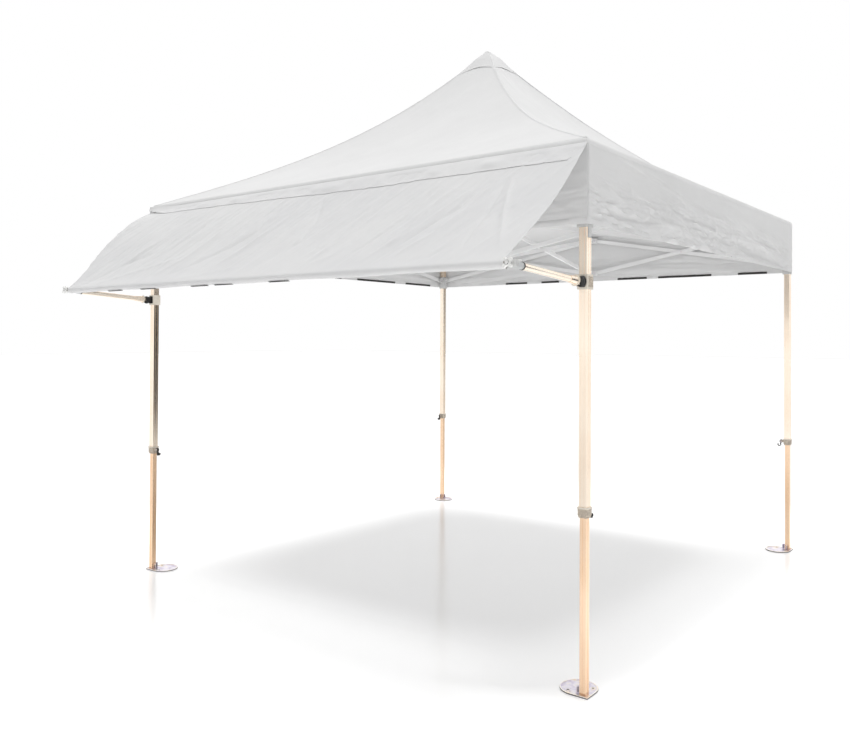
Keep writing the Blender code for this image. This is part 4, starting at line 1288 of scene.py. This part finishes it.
class MARQUEE_OT_stage(bpy.types.Operator):
    """Set up the floor, the light and the camera"""

    bl_idname = "marquee.stage"
    bl_label = "Stage"

    def execute(self, context):
        stage = context.scene.marquee_stage
        deselect_all()
        bpy.ops.mesh.primitive_plane_add(size=120, location=(0, 0, -0.001))
        floor = context.active_object
        floor.name = "studio_floor"
        paint, tree, shader = new_material("pale_studio_floor", stage.floor_colour, 0.16, IOR=1.42)
        shader.inputs["Emission Color"].default_value = linear("FFFFFF")
        # Painted light: the floor glows more in a band round the tent's square shadow, less so close to the tent's
        # right side, which shrinks and squares the shadow; no lamp gives this glow
        place = add_node(tree, "ShaderNodeTexCoord").outputs["Object"]
        place = add_node(tree, "ShaderNodeVectorMath", {"operation": "SUBTRACT", 1: (0.0, TENT_Y, 0.0)}, {0: place})
        along = add_node(tree, "ShaderNodeSeparateXYZ", {}, {0: place.outputs[0]})
        reach = add_node(tree, "ShaderNodeVectorMath", {"operation": "ABSOLUTE"}, {0: place.outputs[0]})
        reach = add_node(tree, "ShaderNodeSeparateXYZ", {}, {0: reach.outputs[0]})
        away = {0: reach.outputs["X"], 1: reach.outputs["Y"]}
        away = add_node(tree, "ShaderNodeMath", {"operation": "SMOOTH_MAX", 2: 0.9}, away).outputs[0]
        steps = (
            (away, {"From Min": 0.97, "From Max": 1.62, "To Min": 0.0, "To Max": 0.26}),
            (away, {"From Min": 2.4, "From Max": 3.4, "To Min": 1.0, "To Max": 0.0}),
            (along.outputs["X"], {"From Min": 0.75, "From Max": 1.45, "To Min": 1.0, "To Max": 0.0}),
            (away, {"From Min": 1.50, "From Max": 1.78, "To Min": 0.0, "To Max": 1.0}),
        )
        made = []
        for value, settings in steps:
            settings = {"interpolation_type": "SMOOTHSTEP", **settings}
            made.append(add_node(tree, "ShaderNodeMapRange", settings, {"Value": value}).outputs["Result"])
        ring = add_node(tree, "ShaderNodeMath", {"operation": "MULTIPLY"}, {0: made[0], 1: made[1]})
        share = add_node(tree, "ShaderNodeMath", {"operation": "MAXIMUM"}, {0: made[2], 1: made[3]})
        ring = {0: ring.outputs[0], 1: share.outputs[0]}
        ring = add_node(tree, "ShaderNodeMath", {"operation": "MULTIPLY_ADD", 2: stage.floor_glow}, ring)
        tree.links.new(ring.outputs[0], shader.inputs["Emission Strength"])
        floor.data.materials.append(paint)
        world = bpy.data.worlds.new("studio")
        world.use_nodes = True
        light_sky(world.node_tree, stage.sky_strength)
        context.scene.world = world
        bpy.ops.object.light_add(type="SUN", location=(0, -3, 8))
        sun = context.active_object
        sun.name = "soft_key"
        sun.rotation_euler = (math.radians(-3.7), math.radians(4.0), 0)
        sun.data.energy = stage.sun_strength
        sun.data.angle = math.radians(30)
        bpy.ops.object.light_add(type="AREA", location=(0, TENT_Y, 0.03), rotation=(math.pi, 0, 0))
        fill = context.active_object
        fill.name = "soft_fill_from_floor"
        fill.data.shape = "SQUARE"
        fill.data.size = 2.6
        fill.data.energy = stage.fill_power
        fill.visible_camera = False
        fill.visible_glossy = False
        black_flag(Vector((6.4, 2.8 + TENT_Y, 1.6)), math.radians(124.5), (3.6, 3.2))
        context.scene.view_settings.view_transform = "Standard"
        place_camera(context.scene)
        return {"FINISHED"}


def black_flag(centre, turn, size):
    """A studio's black card, standing on the floor out of sight, that only shiny metal mirrors."""
    deselect_all()
    bpy.ops.mesh.primitive_plane_add(size=1, location=centre, rotation=(QUARTER, 0, turn))
    flag = bpy.context.active_object
    flag.name = "black_flag"
    flag.scale = (size[0], size[1], 1)
    card, _, _ = new_material("black_card", "0C0A09", 0.9)
    flag.data.materials.append(card)
    flag.visible_camera = False
    flag.visible_diffuse = False
    flag.visible_shadow = False


def light_sky(tree, strength):
    """An even sky, white behind the object, with two dim places that metal mirrors as in a studio."""
    path = add_node(tree, "ShaderNodeLightPath")
    white = linear("FFFFFF")
    lit = tree.nodes["Background"]
    lit.inputs["Color"].default_value = white
    lit.inputs["Strength"].default_value = strength
    seen = add_node(tree, "ShaderNodeBackground", {"Color": white, "Strength": 1.0})
    direction = add_node(tree, "ShaderNodeTexCoord").outputs["Generated"]
    level = None
    for degrees, dimness, spread, rise in ((38.0, 1.10, 0.965, 0.10), (243.0, 0.90, 0.985, 0.37)):
        towards = (math.cos(math.radians(degrees)), math.sin(math.radians(degrees)), rise)
        length = Vector(towards).length
        towards = tuple(c / length for c in towards)
        settings = {"operation": "DOT_PRODUCT", 1: towards}
        nearness = add_node(tree, "ShaderNodeVectorMath", settings, {0: direction}).outputs["Value"]
        settings = {"interpolation_type": "SMOOTHSTEP", "From Min": spread - 0.03, "From Max": spread + 0.01}
        settings.update({"To Min": 1.15 if level is None else 0.0, "To Max": 1.15 - dimness if level is None else -dimness})
        dimming = add_node(tree, "ShaderNodeMapRange", settings, {"Value": nearness}).outputs["Result"]
        if level is None:
            level = dimming
        else:
            level = add_node(tree, "ShaderNodeMath", {"operation": "ADD"}, {0: level, 1: dimming}).outputs[0]
    mirrored = add_node(tree, "ShaderNodeBackground", {"Color": white}, {"Strength": level})
    lighting = add_node(
        tree,
        "ShaderNodeMixShader",
        links={0: path.outputs["Is Glossy Ray"], 1: lit.outputs[0], 2: mirrored.outputs[0]},
    )
    both = add_node(
        tree,
        "ShaderNodeMixShader",
        links={0: path.outputs["Is Camera Ray"], 1: lighting.outputs[0], 2: seen.outputs[0]},
    )
    tree.links.new(both.outputs[0], tree.nodes["World Output"].inputs["Surface"])


def place_camera(scene):
    """Stands the camera where the photograph was taken from."""
    yaw, pitch, roll = math.radians(37.56), math.radians(0.694), math.radians(0.255)
    ahead = Vector((-math.sin(yaw) * math.cos(pitch), math.cos(yaw) * math.cos(pitch), math.sin(pitch)))
    right = Vector((math.cos(yaw), math.sin(yaw), 0))
    up = right.cross(ahead)
    turned_right = right * math.cos(roll) + up * math.sin(roll)
    turned_up = up * math.cos(roll) - right * math.sin(roll)
    data = bpy.data.cameras.new("camera")
    data.sensor_width = 36.0
    data.lens = 833.2 / 850 * 36.0
    data.shift_x = (425 - 436.8) / 850
    data.shift_y = (328.6 - 375) / 850
    data.clip_end = 300
    camera = bpy.data.objects.new("camera", data)
    scene.collection.objects.link(camera)
    turn = Matrix((turned_right, turned_up, -ahead)).transposed()
    camera.matrix_world = Matrix.Translation((3.0455, -4.4941 + TENT_Y, 1.4245)) @ turn.to_4x4()
    scene.camera = camera


class MARQUEE_PT_panel(bpy.types.Panel):
    """Shows the marquee's settings and a button for each of its steps"""

    bl_idname = "MARQUEE_PT_panel"
    bl_label = "Marquee tent"
    bl_space_type = "VIEW_3D"
    bl_region_type = "UI"
    bl_category = "Marquee"

    def draw(self, context):
        layout = self.layout
        for settings in (context.scene.marquee_cover, context.scene.marquee_stage):
            for name in settings.bl_rna.properties.keys():
                if name not in ("rna_type", "name"):
                    layout.prop(settings, name)
        for operator in OPERATORS:
            layout.operator(operator.bl_idname)


OPERATORS = (
    MARQUEE_OT_materials,
    MARQUEE_OT_stage,
    MARQUEE_OT_roof,
    MARQUEE_OT_valance,
    MARQUEE_OT_awning,
    MARQUEE_OT_fittings,
)
CLASSES = (MarqueeCoverSettings, MarqueeStageSettings, *OPERATORS, MARQUEE_PT_panel)


def register():
    for made in CLASSES:
        bpy.utils.register_class(made)
    bpy.types.Scene.marquee_cover = bpy.props.PointerProperty(type=MarqueeCoverSettings)
    bpy.types.Scene.marquee_stage = bpy.props.PointerProperty(type=MarqueeStageSettings)


def unregister():
    del bpy.types.Scene.marquee_cover
    del bpy.types.Scene.marquee_stage
    for made in reversed(CLASSES):
        bpy.utils.unregister_class(made)


def main():
    register()
    for operator in OPERATORS:
        group, name = operator.bl_idname.split(".")
        getattr(getattr(bpy.ops, group), name)()


if __name__ == "__main__":
    main()
